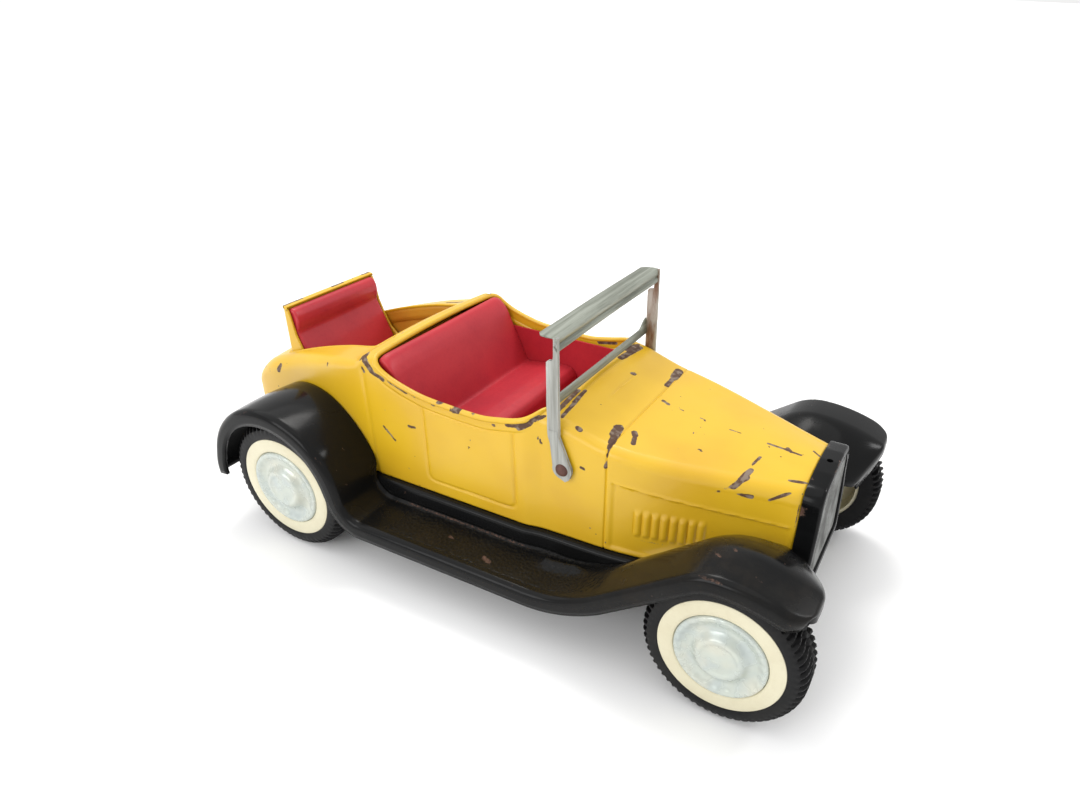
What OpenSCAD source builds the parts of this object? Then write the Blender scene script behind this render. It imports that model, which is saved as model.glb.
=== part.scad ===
// Friction-drive toy roadster in pressed steel and moulded plastic: an open body
// on a tray chassis, swept fenders, a folding windshield, a rumble seat lid on
// pins, and a flywheel motor geared to the rear axle.
// All modules are drawn from the rear axle: x forward, y to the left, z up from
// the ground. car() then moves them to the middle of the overall length.

/* [Overall] */
// Distance between the axles
wheelbase = 180; // [168:1:216]
// From the rear axle back to the end of the tail
tail_overhang = 48; // [46:1:58]
// From the front axle forward to the fender tips
nose_overhang = 24; // [20:1:29]
// Width of the body across the cockpit
body_w = 77.2; // [70:0.1:82]
// Width over the faces of the wheels
wheel_span = 121.6; // [118:0.1:136]
// Height of the top of the windshield
screen_top_z = 107.8; // [96:0.1:120]

/* [Body] */
// Thickness of the body sheet
sheet = 0.9; // [0.6:0.1:1.2]
// Height of the body's lower edge
sill_z = 30.5; // [30:0.1:33]
// Height of the hoop behind the cockpit
hoop_z = 80.6; // [78:0.1:84]
// Rise of the hoop above the line of the deck behind it
hoop_rise = 2.2; // [0:0.1:3]
// Height of the middle of the cockpit side rim
rim_z = 70.6; // [68:0.1:73]
// Height of the cowl at its rear edge
cowl_z = 79.2; // [77:0.1:80]
// Height of the hood where it meets the cowl
hood_rear_z = 71.6; // [70:0.1:74]
// Height of the hood behind the radiator
hood_front_z = 66.6; // [64:0.1:69]
// Width of the hood behind the radiator at its shoulders
hood_front_w = 38; // [34:0.1:44]
// Width of the hood behind the radiator at its foot
hood_foot_w = 48.8; // [46:0.1:54]

/* [Chassis and fenders] */
// Height of the chassis floor's underside
floor_z = 15.6; // [14.6:0.1:16]
// Thickness of the chassis floor
floor_t = 1; // [0.8:0.1:1.2]
// Thickness of the chassis side walls
rail_t = 1.2; // [0.9:0.1:1.5]
// How far the chassis stands out past the body's foot
sill_step = 3; // [2:0.1:4]
// Thickness of the fender pressing
fender_t = 1.2; // [0.8:0.1:1.4]
// Height of the running board's top
board_z = 23.5; // [22:0.1:25]
// Radius of the rear fender arch
rear_arch_r = 33.5; // [33:0.1:36]
// Height of the front fender's crown
front_crown_z = 57.7; // [57.4:0.1:60]
// Depth of the turned-down fender edge
edge_drop = 6; // [4:0.1:7]

/* [Wheels] */
// Radius of the tyres
tyre_r = 27; // [26.6:0.1:28]
// Width of the tyres
tyre_w = 13.3; // [11:0.1:15]
// Radius of the white wheel face
disc_r = 20.9; // [19:0.1:22]
// Radius of the hub caps
cap_r = 15.4; // [14:0.1:17]
// Radius of both axles
axle_r = 1.5; // [1.2:0.05:1.5]

/* [Motor] */
// Gear module
gear_m = 0.6; // [0.5:0.05:0.6]
// Teeth on the two large gears
gear_teeth = 30; // [26:1:30]
// Teeth on the two pinions
pinion_teeth = 8; // [8:1:9]
// Radius of the idler and flywheel shafts
shaft_r = 1; // [0.8:0.05:1.1]
// Radius of the flywheel
flywheel_r = 11; // [9:0.1:11]
// Thickness of the flywheel
flywheel_t = 6; // [4:0.1:8]
// Clear distance between the motor plates
motor_gap = 14; // [13:0.1:16]

/* [Fits] */
// Radial clearance of a shaft that turns in its hole
running = 0.05; // [0.03:0.01:0.1]
// Gap between pieces that are pressed or clamped together
seated = 0.02; // [0.02:0.01:0.05]
// Gap between pieces that pass each other
passing = 0.4; // [0.3:0.05:0.5]

/* [Hidden] */
$fn = 48;

far = 200;
tail_x = -tail_overhang;
nose_x = wheelbase + nose_overhang;
mid_x = (tail_x + wheelbase + max(tyre_r, nose_overhang)) / 2;
belt = body_w / 2;
wheel_face = wheel_span / 2;

// Stations along the body, counted from the rear axle.
hoop_x = 28;
cockpit_x = 31;
cowl_x = wheelbase - 77;
seam_x = wheelbase - 53;
hood_x = wheelbase + 9;
cockpit_front_x = cowl_x + 0.7;
cabin_l = cockpit_front_x - cockpit_x;

// Body lines as [x, value]: half width at the belt, half width at the foot,
// height on the centre line, radius of the shoulder and drop of the crown.
belt_line = [
    [tail_x, belt - 15], [tail_x + 1.5, belt - 11.6], [tail_x + 4, belt - 9.9],
    [tail_x + 11, belt - 8.1], [-20, belt - 6.3], [0, belt - 3.3], [26, belt],
    [cowl_x - 8, belt], [cowl_x, belt - 2], [seam_x, belt - 3.2], [hood_x, hood_front_w / 2]
];
foot_line = [
    [tail_x, belt - 15], [tail_x + 1.5, belt - 11.6], [tail_x + 4, belt - 9.9],
    [tail_x + 11, belt - 8.1], [-20, belt - 6.3], [0, belt - 3.3], [26, belt],
    [cowl_x - 8, belt], [cowl_x, belt - 1.4], [seam_x, belt - 2], [hood_x, hood_foot_w / 2]
];
top_line = [
    [tail_x, hoop_z - 30.6], [tail_x + 1.5, hoop_z - 27.3], [tail_x + 4, hoop_z - 25],
    [tail_x + 11, hoop_z - 19.4], [tail_x + 21, hoop_z - 14.6], [-10, hoop_z - 8.6],
    [8, hoop_z - 4], [22, hoop_z - 1.2], [hoop_x, hoop_z + hoop_rise], [cowl_x, cowl_z],
    [seam_x, hood_rear_z], [hood_x, hood_front_z]
];
shoulder_line = [[tail_x, 7], [-20, 7], [hoop_x, 3], [cowl_x, 5.5], [seam_x, 4.5], [hood_x, 6.5]];
crown_line = [[tail_x, 1], [-20, 2], [hoop_x, 1.5], [cowl_x, 2], [seam_x, 0.8], [hood_x, 1.8]];
stations = [
    tail_x, tail_x + 1.5, tail_x + 4, tail_x + 11, tail_x + 21, -20, -10, 0, 8, 22, hoop_x,
    cockpit_x + 8, cowl_x - 8, cowl_x, cowl_x + 10, seam_x, seam_x + 20, hood_x - 20, hood_x
];

// Side rim of the cockpit as [share of the cabin's length, height].
rim_line = [
    [0, hoop_z + hoop_rise - 1.2], [0.055, rim_z + 7.2], [0.18, rim_z + 3.4], [0.36, rim_z + 0.8],
    [0.65, rim_z], [0.78, rim_z + 1.4], [0.89, rim_z + 3.4], [1, cowl_z - 0.6]
];

// Rumble seat: the opening in the rear deck, and the lid in it. The lid's skin
// stands upright when open and lies on the deck's slope when it is folded down.
deck_front_x = 21.5;
deck_rear_x = -28.8;
deck_half = 25;
deck_corner = 1.5;
lid_skin = 1;
lid_half = 24.2;
lid_x = deck_rear_x + 0.6;
lid_top_z = 84.2;
lid_travel = 75;
lid_front = [deck_front_x - 1.2, lookup(deck_front_x - 1.2, top_line) - 0.4];
lid_rear_x = -24.8;
lid_len = (lid_front[0] - lid_rear_x) / cos(90 - lid_travel);
// The pin that carries the lid's front edge from lid_front to the top.
lid_swing = [
    lid_x - cos(lid_travel) * lid_front[0] + sin(lid_travel) * lid_front[1],
    lid_top_z - sin(lid_travel) * lid_front[0] - cos(lid_travel) * lid_front[1]
];
lid_pin_x = (lid_swing[0] - lid_swing[1] * sin(lid_travel) / (1 - cos(lid_travel))) / 2;
lid_pin_z = (lid_swing[1] + lid_swing[0] * sin(lid_travel) / (1 - cos(lid_travel))) / 2;
pin_r = 1.2;
pin_head_r = 2.2;
tub_wall = 0.8;
tub_half = lid_half + 1.1;
tub_floor_z = 45;
tub_rear_x = lid_pin_x - 18.3;

// Windshield, hinged on rivets through the cowl's sides.
screen_pin_x = wheelbase - 68.7;
screen_pin_z = 58.9;
arm_in = belt - 1.6;
arm_t = 1.1;
arm_w = 4;
arm_x = screen_pin_x - 3.2;
arm_bend_z = screen_pin_z + 13;
arm_boss_r = 3.5;
rivet_r = 1.2;
rivet_head_r = 2.4;
rivet_head_t = 1;

// Motor: shaft centres, gear sizes and the lengthwise place of each piece.
pitch_gear = gear_m * gear_teeth / 2;
pitch_pinion = gear_m * pinion_teeth / 2;
centre_dist = pitch_gear + pitch_pinion + 0.05;
gear_angle = 25;
idler_angle = 0;
wheel_angle = 30;
idler_x = centre_dist * cos(idler_angle);
idler_z = tyre_r + centre_dist * sin(idler_angle);
spin_x = idler_x + centre_dist * cos(wheel_angle);
spin_z = idler_z + centre_dist * sin(wheel_angle);
plate_t = 1;
plate_in = motor_gap / 2;
plate_out = plate_in + plate_t;
first_row = [-plate_in + 1.5, -1.5];
second_row = [1.5, plate_in - 2];
bed_z = floor_z + floor_t;
foot_w = 4.5;
foot_rivets = [-8, 26];
pillars = [[-10.5, 20.5], [28, 21], [6, 41]];
pillar_r = 1.6;
spigot_r = 1;

// Wheel proportions, measured inward from the face.
wheel_in = tyre_w - 0.5;
rim_t = 1.6;
barrel_r = disc_r - 2;
dish = 2;

// Radiator, in front of the hood.
shell_x = hood_x + 0.1;
shell_d = 6.9;
shell_wall = 2.5;
cap_hole_r = 1.1;

// Fender path: rear arch, running board and front sweep.
arch_x = -4;
arch_z = tyre_r - 0.5;
foot_r = 8;
sweep_r = 45;
sweep_a = 36;
crown_r = 22;
tip_r = 60;
crown_x = wheelbase - 2;
fender_out = wheel_face + 1.5;
edge_r = 2.6;
screw_x = [-32, 50, 140];

function arc_pts(c, r, a0, a1, n) =
    [for (i = [0:n]) c + r * [cos(a0 + (a1 - a0) * i / n), sin(a0 + (a1 - a0) * i / n)]];

// Half width of the body's side at a height.
function side_w(x, z) =
    let (
        foot = lookup(x, foot_line),
        up = lookup(x, top_line) - lookup(x, crown_line) - lookup(x, shoulder_line),
        share = min(1, max(0, (z - sill_z) / (up - sill_z)))
    )
    foot + (lookup(x, belt_line) - foot) * share;

// One rib of the body: the outline across it, inset by a thickness.
function rib(x, inset, foot_z) =
    let (
        top = lookup(x, top_line) - inset,
        w = lookup(x, belt_line) - inset,
        r = lookup(x, shoulder_line),
        drop = lookup(x, crown_line),
        half = concat(
            [[lookup(x, foot_line) - inset, foot_z]],
            arc_pts([w - r, top - drop - r], r, 0, 90, 5),
            [for (t = [0.35, 0.7]) [(w - r) * (1 - t), top - drop * (1 - t) * (1 - t)]]
        ),
        n = len(half)
    )
    concat([for (p = half) [-p[0], p[1]]], [[0, top]], [for (i = [n - 1:-1:0]) half[i]]);

// Skin over a row of equal rings of points, with flat ends.
module loft(rings) {
    n = len(rings[0]);
    m = len(rings);
    sides = [for (j = [0:m - 2], i = [0:n - 1], k = [0, 1])
        let (a = j * n + i, b = j * n + (i + 1) % n)
        k == 0 ? [a, b, a + n] : [b, b + n, a + n]];
    ends = [[for (i = [n - 1:-1:0]) i], [for (i = [0:n - 1]) (m - 1) * n + i]];
    polyhedron([for (ring = rings, p = ring) p], concat(sides, ends));
}

// The same for a folded strip, whose ends are closed in short steps because
// the outline is not convex.
module loft_strip(rings) {
    n = len(rings[0]);
    m = len(rings);
    last = (m - 1) * n;
    sides = [for (j = [0:m - 2], i = [0:n - 1], k = [0, 1])
        let (a = j * n + i, b = j * n + (i + 1) % n)
        k == 0 ? [a, b, a + n] : [b, b + n, a + n]];
    ends = [for (i = [0:n / 2 - 2], k = [0, 1])
        let (a = i, b = i + 1, c = n - 2 - i, d = n - 1 - i)
        k == 0 ? [d, c, b, a] : [last + a, last + b, last + c, last + d]];
    polyhedron([for (ring = rings, p = ring) p], concat(sides, ends));
}

// The body as a solid, inset by a thickness; reach runs it on past the hood.
module body_form(inset, foot_z, reach) {
    last = len(stations) - 1;
    rings = [for (i = [0:last])
        let (x = stations[i], at = i == 0 ? x + inset : i == last ? x - reach / 100 : x)
        [for (p = rib(x, inset, foot_z)) [at, p[0], p[1]]]];
    beyond = [for (p = rib(hood_x, inset, foot_z)) [hood_x + reach, p[0], p[1]]];
    loft(reach > 0 ? concat(rings, [beyond]) : rings);
}

module car() {
    translate([-mid_x, 0, 0]) children();
}

// Extrudes an x-z outline from y = from to y = to.
module across(from, to) {
    translate([0, to, 0]) rotate([90, 0, 0]) linear_extrude(to - from) children();
}

// Extrudes a y-z outline from x = from to x = to.
module along(from, to) {
    translate([from, 0, 0]) rotate([90, 0, 90]) linear_extrude(to - from) children();
}

module rod(x, z, r, from, to) {
    translate([x, from, z]) rotate([-90, 0, 0]) cylinder(h = to - from, r = r);
}

module both_sides() {
    children();
    mirror([0, 1, 0]) children();
}

// Outline of the body's foot from above, widened by one amount at the sides and
// shortened by another at the ends.
module foot_plan(wider, shorter) {
    ends = [for (p = foot_line)
        [max(tail_x + shorter, min(hood_x - shorter, p[0])), p[1] + wider]];
    n = len(ends);
    polygon(concat(ends, [for (i = [n - 1:-1:0]) [ends[i][0], -ends[i][1]]]));
}

module strip(a, b, w) {
    d = b - a;
    n = [-d[1], d[0]] / norm(d) * w / 2;
    polygon([a + n, b + n, b - n, a - n]);
}

// Space above the cockpit rim, lowered by an amount.
module above_rim(lower) {
    across(-far, far) polygon(concat(
        [for (p = rim_line) [cockpit_x + cabin_l * p[0], p[1] - lower]],
        [[cockpit_front_x, far], [cockpit_x, far]]
    ));
}

module deck_opening() {
    long = deck_front_x - deck_rear_x;
    for (x = [deck_rear_x + deck_corner, deck_front_x - deck_corner], s = [-1, 1])
        translate([x, s * (deck_half - deck_corner)]) circle(r = deck_corner);
    translate([deck_rear_x, deck_corner - deck_half]) square([long, 2 * (deck_half - deck_corner)]);
    translate([deck_rear_x + deck_corner, -deck_half]) square([long - 2 * deck_corner, 2 * deck_half]);
}

module body_shell() {
    color("gold") car() difference() {
        body_form(0, sill_z, 0);
        body_form(sheet, sill_z - 5, 5);
        above_rim(0);
        // rumble seat opening with rounded corners
        translate([0, 0, sill_z + 20]) linear_extrude(far) deck_opening();
        rod(screen_pin_x, screen_pin_z, rivet_r + running, -far, far);
    }
}

module chassis_frame() {
    color("dimgray") car() difference() {
        translate([0, 0, floor_z]) linear_extrude(sill_z - floor_z) foot_plan(sill_step, 0);
        // space inside the side walls, under the flange that the body sits on
        translate([0, 0, bed_z]) linear_extrude(sill_z - bed_z - 1)
            foot_plan(sill_step - rail_t, rail_t);
        translate([0, 0, bed_z]) linear_extrude(far) foot_plan(-5, 5);
        rod(0, tyre_r, axle_r + running, -far, far);
        rod(wheelbase, tyre_r, axle_r + seated, -far, far);
        // countersunk holes for the motor's rivets
        for (x = foot_rivets, s = [-1, 1])
            translate([x, s * (plate_out + foot_w / 2), 0]) {
                cylinder(h = far, r = spigot_r + running);
                translate([0, 0, floor_z - 0.1])
                    cylinder(h = 0.7, r1 = spigot_r + running + 0.9, r2 = spigot_r + running);
            }
        for (x = screw_x, s = [-1, 1])
            translate([x, s * (lookup(x, foot_line) - 2.5), 0]) cylinder(h = far, r = spigot_r + running);
    }
}

// Points of the fender's top line as [x, z, direction of its outward normal].
function with_normals(c, r, a0, a1, n, turn) =
    [for (i = [0:n]) let (a = a0 + (a1 - a0) * i / n) [c[0] + r * cos(a), c[1] + r * sin(a), a + turn]];

foot_lift = board_z + foot_r - arch_z;
foot_x = arch_x + sqrt(pow(rear_arch_r + foot_r, 2) - pow(foot_lift, 2));
foot_a = asin(foot_lift / (rear_arch_r + foot_r));
crown_c = [crown_x, front_crown_z - crown_r];
crown_in = crown_c + crown_r * [-sin(sweep_a), cos(sweep_a)];
run_x = crown_in[0] - (crown_in[1] - board_z) / tan(sweep_a);
sweep_start = run_x - sweep_r * tan(sweep_a / 2);
tip_a = 90 - asin((nose_x - crown_x) / tip_r);
fender_path = concat(
    with_normals([arch_x, arch_z], rear_arch_r, 186, foot_a, 16, 0),
    with_normals([foot_x, board_z + foot_r], foot_r, 180 + foot_a + 18, 270, 4, 180),
    [for (x = [(foot_x + cowl_x) / 2, cowl_x - 8, cowl_x]) [x, board_z, 90]],
    with_normals([sweep_start, board_z + sweep_r], sweep_r, 270, 270 + sweep_a, 5, 180),
    with_normals(crown_c, crown_r, 90 + sweep_a, 90, 5, 0),
    with_normals([crown_x, front_crown_z - tip_r], tip_r, 84, tip_a, 5, 0)
);

// How far the fender's inner edge falls below its top line.
function inner_drop(x) = lookup(x, [[sweep_start, 0], [wheelbase - 40, 4], [hood_x, 12]]);

// Where the fender's inner edge meets the body, clears the radiator, or meets the chassis.
function inner_y(x, z) =
    z > sill_z + 7
        ? side_w(x, z) + lookup(x, [[seam_x, 0.1], [hood_x, 1.6]])
        : lookup(x, foot_line) + sill_step + 0.1;

// Fender section at one point of the path: top side, then underside back.
function fender_ring(p) =
    let (
        drop = inner_drop(p[0]),
        y0 = inner_y(p[0], p[1] - drop),
        out = [cos(p[2]), sin(p[2])],
        top = concat(
            [[y0, -drop], [y0 + (47 - y0) / 2, -drop * 0.35], [47, 0]],
            [for (a = [90, 60, 30, 0]) [fender_out - edge_r + edge_r * cos(a), edge_r * (sin(a) - 1)]],
            [[fender_out, -edge_drop]]
        ),
        under = concat(
            [[y0, -drop - fender_t], [y0 + (47 - y0) / 2, -drop * 0.35 - fender_t], [47, -fender_t]],
            [for (a = [90, 60, 30, 0])
                [fender_out - edge_r, -edge_r] + (edge_r - fender_t) * [cos(a), sin(a)]],
            [[fender_out - fender_t, -edge_drop]]
        ),
        n = len(under)
    )
    [for (q = concat(top, [for (i = [n - 1:-1:0]) under[i]]))
        [p[0] + out[0] * q[1], q[0], p[1] + out[1] * q[1]]];

module fender() {
    loft_strip([for (p = fender_path) fender_ring(p)]);
}

module fender_left() {
    color([0.09, 0.09, 0.1]) car() fender();
}

module fender_right() {
    color([0.09, 0.09, 0.1]) car() mirror([0, 1, 0]) fender();
}

// Front outline of the radiator, inset by a thickness: arched top, flared foot.
module radiator_outline(inset) {
    shoulder = hood_front_w / 2 + 0.8 - inset;
    foot = hood_foot_w / 2 - inset;
    top = hood_front_z + 0.7 - inset;
    bottom = board_z + 0.5 + inset;
    half = concat(
        [[foot - 2, bottom], [foot, bottom + 2], [foot, 38], [shoulder, top - 10]],
        arc_pts([shoulder - 6, top - 8], 6, 0, 75, 5)
    );
    n = len(half);
    polygon(concat(half, [[0, top]], [for (i = [n - 1:-1:0]) [-half[i][0], half[i][1]]]));
}

module radiator_shell() {
    color([0.12, 0.12, 0.13]) car() difference() {
        along(shell_x, shell_x + shell_d) radiator_outline(0);
        along(shell_x + 1, shell_x + shell_d + 1) radiator_outline(shell_wall);
        translate([shell_x + shell_d / 2, 0, hood_front_z - 10]) cylinder(h = far, r = cap_hole_r);
    }
}

module radiator_grille() {
    at = shell_x + shell_d - 1.6;
    color("silver") car() {
        along(at, at + 0.7) radiator_outline(shell_wall + seated);
        for (y = [-15:3:15])
            translate([at + 0.6, y - 0.3, 32]) cube([0.6, 0.6, 26]);
    }
}

module cabin_plan(inset) {
    back = cockpit_x + 1 + inset;
    front = cowl_x + 6 - inset;
    half = belt - 1.5 - inset;
    polygon([
        [back, -half], [cowl_x - 10, -half], [front, 3 - half],
        [front, half - 3], [cowl_x - 10, half], [back, half]
    ]);
}

module interior_tub() {
    color("firebrick") car() difference() {
        translate([0, 0, tub_floor_z]) linear_extrude(rim_z - 1.6 - tub_floor_z) cabin_plan(0);
        translate([0, 0, tub_floor_z + tub_wall]) linear_extrude(far) cabin_plan(tub_wall);
        above_rim(1);
    }
}

// Side outline of the seat's skin: a rolled back and a raised cushion.
module seat_side(inset) {
    x0 = cockpit_x + 2.2 + inset;
    z0 = tub_floor_z + tub_wall + seated - 2 * inset;
    polygon([
        [x0, z0], [x0, 79 - inset], [x0 + 1, 80.8 - inset], [x0 + 3 - inset, 80.8 - inset],
        [x0 + 5.5 - 2 * inset, 74.5 - inset], [x0 + 15.5 - 2 * inset, 53.5 - inset],
        [x0 + 19 - 2 * inset, 54.3 - inset], [x0 + 36 - 2 * inset, 56 - inset],
        [x0 + 40 - 2 * inset, 54 - inset], [x0 + 41 - 2 * inset, z0]
    ]);
}

module front_seat() {
    half = belt - 3.6;
    color("crimson") car() difference() {
        across(-half, half) seat_side(0);
        across(1 - half, half - 1) seat_side(1);
    }
}

module rumble_tub() {
    front = deck_front_x + 1;
    color("goldenrod") car() difference() {
        union() {
            translate([tub_rear_x, -tub_half, tub_floor_z]) cube([front - tub_rear_x, 2 * tub_half, tub_wall]);
            for (y = [-tub_half - tub_wall, tub_half])
                across(y, y + tub_wall) polygon([
                    [tub_rear_x, tub_floor_z], [tub_rear_x, 63], [front, 74.5], [front, tub_floor_z]
                ]);
            translate([front - tub_wall, -tub_half, tub_floor_z])
                cube([tub_wall, 2 * tub_half, 30]);
        }
        rod(lid_pin_x, lid_pin_z, pin_r + running, -far, far);
    }
}

module lid_pins() {
    color("gray") car() both_sides() {
        rod(lid_pin_x, lid_pin_z, pin_r, lid_half - lid_skin - 1, tub_half + tub_wall + 1);
        rod(lid_pin_x, lid_pin_z, pin_head_r, lid_half - lid_skin - 1, lid_half - lid_skin - 1 + 0.7);
        rod(lid_pin_x, lid_pin_z, pin_head_r, tub_half + tub_wall + seated, tub_half + tub_wall + 1);
    }
}

module rumble_lid() {
    skin_in = lid_x + lid_skin;
    foot = lid_top_z - lid_len;
    color("gold") car() {
        translate([lid_x, -lid_half, foot]) cube([lid_skin, 2 * lid_half, lid_len]);
        both_sides() difference() {
            across(lid_half - lid_skin, lid_half) union() {
                polygon([
                    [skin_in - 0.2, lid_top_z - 1], [skin_in + 2, lid_top_z - 1.5],
                    [lid_pin_x + 2.5, lid_pin_z + 2.4], [lid_pin_x, lid_pin_z - 3],
                    [skin_in - 0.2, lid_pin_z - 3]
                ]);
                translate([lid_pin_x, lid_pin_z]) circle(r = 3.5);
            }
            rod(lid_pin_x, lid_pin_z, pin_r + running, 0, far);
        }
    }
}

module rumble_pad() {
    back = lid_x + lid_skin + seated;
    half = lid_half - lid_skin - 0.3;
    color("crimson") car() across(-half, half) polygon([
        [back, 50], [back, 81.5], [back + 1.5, 83], [back + 3.2, 82.5], [back + 4.8, 79],
        [back + 4.6, 74.6], [back + 3.8, 73], [back + 6, 69], [back + 12.5, 54], [back + 11, 50]
    ]);
}

module windshield_rivets() {
    color("saddlebrown") car() both_sides() {
        rod(screen_pin_x, screen_pin_z, rivet_r, side_w(screen_pin_x, screen_pin_z) - 2.4,
            arm_in + arm_t + 0.1 + rivet_head_t);
        rod(screen_pin_x, screen_pin_z, rivet_head_r, arm_in + arm_t + 0.1,
            arm_in + arm_t + 0.1 + rivet_head_t);
        rod(screen_pin_x, screen_pin_z, 2, side_w(screen_pin_x, screen_pin_z) - 2.4,
            side_w(screen_pin_x, screen_pin_z) - sheet - 0.3);
    }
}

module windshield_frame() {
    boss = [screen_pin_x, screen_pin_z];
    bend = [arm_x, arm_bend_z];
    top = [arm_x, screen_top_z - 0.5];
    front = arm_x + arm_w / 2;
    bar_x = cowl_x + 2.2;
    bar_z = cowl_z + passing;
    color("darkgray") car() {
        both_sides() difference() {
            across(arm_in, arm_in + arm_t) union() {
                translate(boss) circle(r = arm_boss_r);
                strip(boss, bend, arm_w);
                translate(bend) circle(r = arm_w / 2);
                strip(bend, top, arm_w);
            }
            rod(screen_pin_x, screen_pin_z, rivet_r + running, 0, far);
        }
        // header with its sun visor, and the lower bar over the cowl
        translate([front - 1, -arm_in - arm_t, screen_top_z - 5.5]) cube([1, 2 * (arm_in + arm_t), 5.5]);
        translate([front - 7.5, -arm_in, screen_top_z - 1]) cube([7.5, 2 * arm_in, 1]);
        translate([bar_x, -arm_in - 0.3, bar_z]) cube([1, 2 * arm_in + 0.6, 4]);
    }
}

module front_axle() {
    color("silver") car()
        rod(wheelbase, tyre_r, axle_r, 0.9 - wheel_face, wheel_face - 0.9);
}

module axle_washers() {
    color("gray") car() both_sides() difference() {
        rod(wheelbase, tyre_r, axle_r + 1.6, wheel_face - dish + 0.3, wheel_face - dish + 0.9);
        rod(wheelbase, tyre_r, axle_r + seated, 0, far);
    }
}

// Screws up through the chassis flange, which clamp the body's folded foot.
module body_screws() {
    color("gray") car() for (x = screw_x, s = [-1, 1])
        translate([x, s * (lookup(x, foot_line) - 2.5), 0]) {
            translate([0, 0, sill_z - 1.4 - 1.2]) cylinder(h = 1.2, r = 1.9);
            translate([0, 0, sill_z - 2]) cylinder(h = 5, r = spigot_r);
        }
}

module motor_plate(side) {
    foot_y = side > 0 ? plate_in : -plate_out - foot_w;
    difference() {
        union() {
            across(side > 0 ? plate_in : -plate_out, side > 0 ? plate_out : -plate_in) polygon([
                [-13, bed_z], [31, bed_z], [31, 38], [25, 44], [1, 44], [-13, 32]
            ]);
            translate([-13, foot_y, bed_z]) cube([44, foot_w + plate_t, plate_t]);
        }
        rod(0, tyre_r, axle_r + running, -far, far);
        rod(idler_x, idler_z, shaft_r + running, -far, far);
        rod(spin_x, spin_z, shaft_r + running, -far, far);
        for (p = pillars)
            rod(p[0], p[1], spigot_r + seated, -far, far);
        for (x = foot_rivets, s = [-1, 1])
            translate([x, s * (plate_out + foot_w / 2), 0]) cylinder(h = far, r = spigot_r + running);
    }
}

module motor_plate_left() {
    color("lightsteelblue") car() motor_plate(1);
}

module motor_plate_right() {
    color("lightsteelblue") car() motor_plate(-1);
}

module motor_pillars() {
    color("silver") car() for (p = pillars) {
        rod(p[0], p[1], pillar_r, seated - plate_in, plate_in - seated);
        rod(p[0], p[1], spigot_r, -plate_out, plate_out);
    }
}

module motor_rivets() {
    color("silver") car() for (x = foot_rivets, s = [-1, 1])
        translate([x, s * (plate_out + foot_w / 2), 0]) {
            translate([0, 0, floor_z + seated]) cylinder(h = 0.58, r1 = 1.7, r2 = spigot_r);
            translate([0, 0, floor_z + seated]) cylinder(h = floor_t + plate_t + 0.6, r = spigot_r);
            translate([0, 0, bed_z + plate_t + seated]) cylinder(h = 0.6, r = 1.8);
        }
}

// Roll angle of an involute at radius r, and the angle it turns through.
function roll(rb, r) = sqrt(max(0, pow(r / rb, 2) - 1)) * 180 / PI;
function turned(rb, r) = roll(rb, r) - atan(roll(rb, r) * PI / 180);

module gear_outline(teeth, addendum) {
    rp = gear_m * teeth / 2;
    rb = rp * cos(gear_angle);
    tip = rp + addendum * gear_m;
    root = rp - 1.25 * gear_m;
    slack = 0.04 / rp * 180 / PI;
    flank = [root, max(root + 0.05, rb), (max(root, rb) + tip) / 2, tip];
    half = [for (r = flank) 90 / teeth - slack + turned(rb, rp) - turned(rb, max(r, rb))];
    polygon([for (k = [0:teeth - 1], i = [0:7])
        let (
            j = i < 4 ? i : 7 - i,
            a = k * 360 / teeth + (i < 4 ? -half[j] : half[j])
        )
        flank[j] * [cos(a), sin(a)]]);
}

module gear(x, z, teeth, addendum, phase, row, bore) {
    difference() {
        translate([x, 0, z]) across(row[0], row[1]) rotate(phase) gear_outline(teeth, addendum);
        rod(x, z, bore, -far, far);
    }
}

module rear_axle() {
    color("silver") car() rod(0, tyre_r, axle_r, 0.9 - wheel_face, wheel_face - 0.9);
}

module drive_gear() {
    color("khaki") car()
        gear(0, tyre_r, gear_teeth, 0.85, idler_angle, first_row, axle_r + seated);
}

module idler_pinion() {
    color("khaki") car()
        gear(idler_x, idler_z, pinion_teeth, 0.9, idler_angle + 180 + 180 / pinion_teeth,
            first_row, shaft_r + seated);
}

module idler_gear() {
    color("khaki") car()
        gear(idler_x, idler_z, gear_teeth, 0.85, wheel_angle, second_row, shaft_r + seated);
}

module idler_shaft() {
    color("silver") car() rod(idler_x, idler_z, shaft_r, -plate_out, plate_out);
}

module flywheel_pinion() {
    color("khaki") car()
        gear(spin_x, spin_z, pinion_teeth, 0.9, wheel_angle + 180 + 180 / pinion_teeth,
            second_row, shaft_r + seated);
}

module flywheel_shaft() {
    color("silver") car() rod(spin_x, spin_z, shaft_r, -plate_out, plate_out + flywheel_t + 1.4);
}

module flywheel() {
    color("slategray") car() difference() {
        rod(spin_x, spin_z, flywheel_r, plate_out + 1, plate_out + 1 + flywheel_t);
        rod(spin_x, spin_z, flywheel_r - 3, plate_out + flywheel_t - 1, far);
        rod(spin_x, spin_z, shaft_r + seated, 0, far);
    }
}

// Places a wheel piece drawn with its face at z = 0 and outwards up.
module at_wheel(x, side) {
    translate([x, side * wheel_face, tyre_r]) rotate([-90 * side, 0, 0]) children();
}

module tyre(x, side) {
    color([0.13, 0.13, 0.14]) car() at_wheel(x, side) rotate_extrude($fn = 96) polygon([
        [barrel_r + seated, -tyre_w], [tyre_r - 2.5, -tyre_w], [tyre_r - 0.6, -tyre_w + 1],
        [tyre_r, -tyre_w + 2.5], [tyre_r, -2.5], [tyre_r - 0.6, -1], [tyre_r - 2.5, -0.1],
        [disc_r + seated, -0.1], [disc_r + seated, -rim_t - seated], [barrel_r + seated, -rim_t - seated]
    ]);
}

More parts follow.
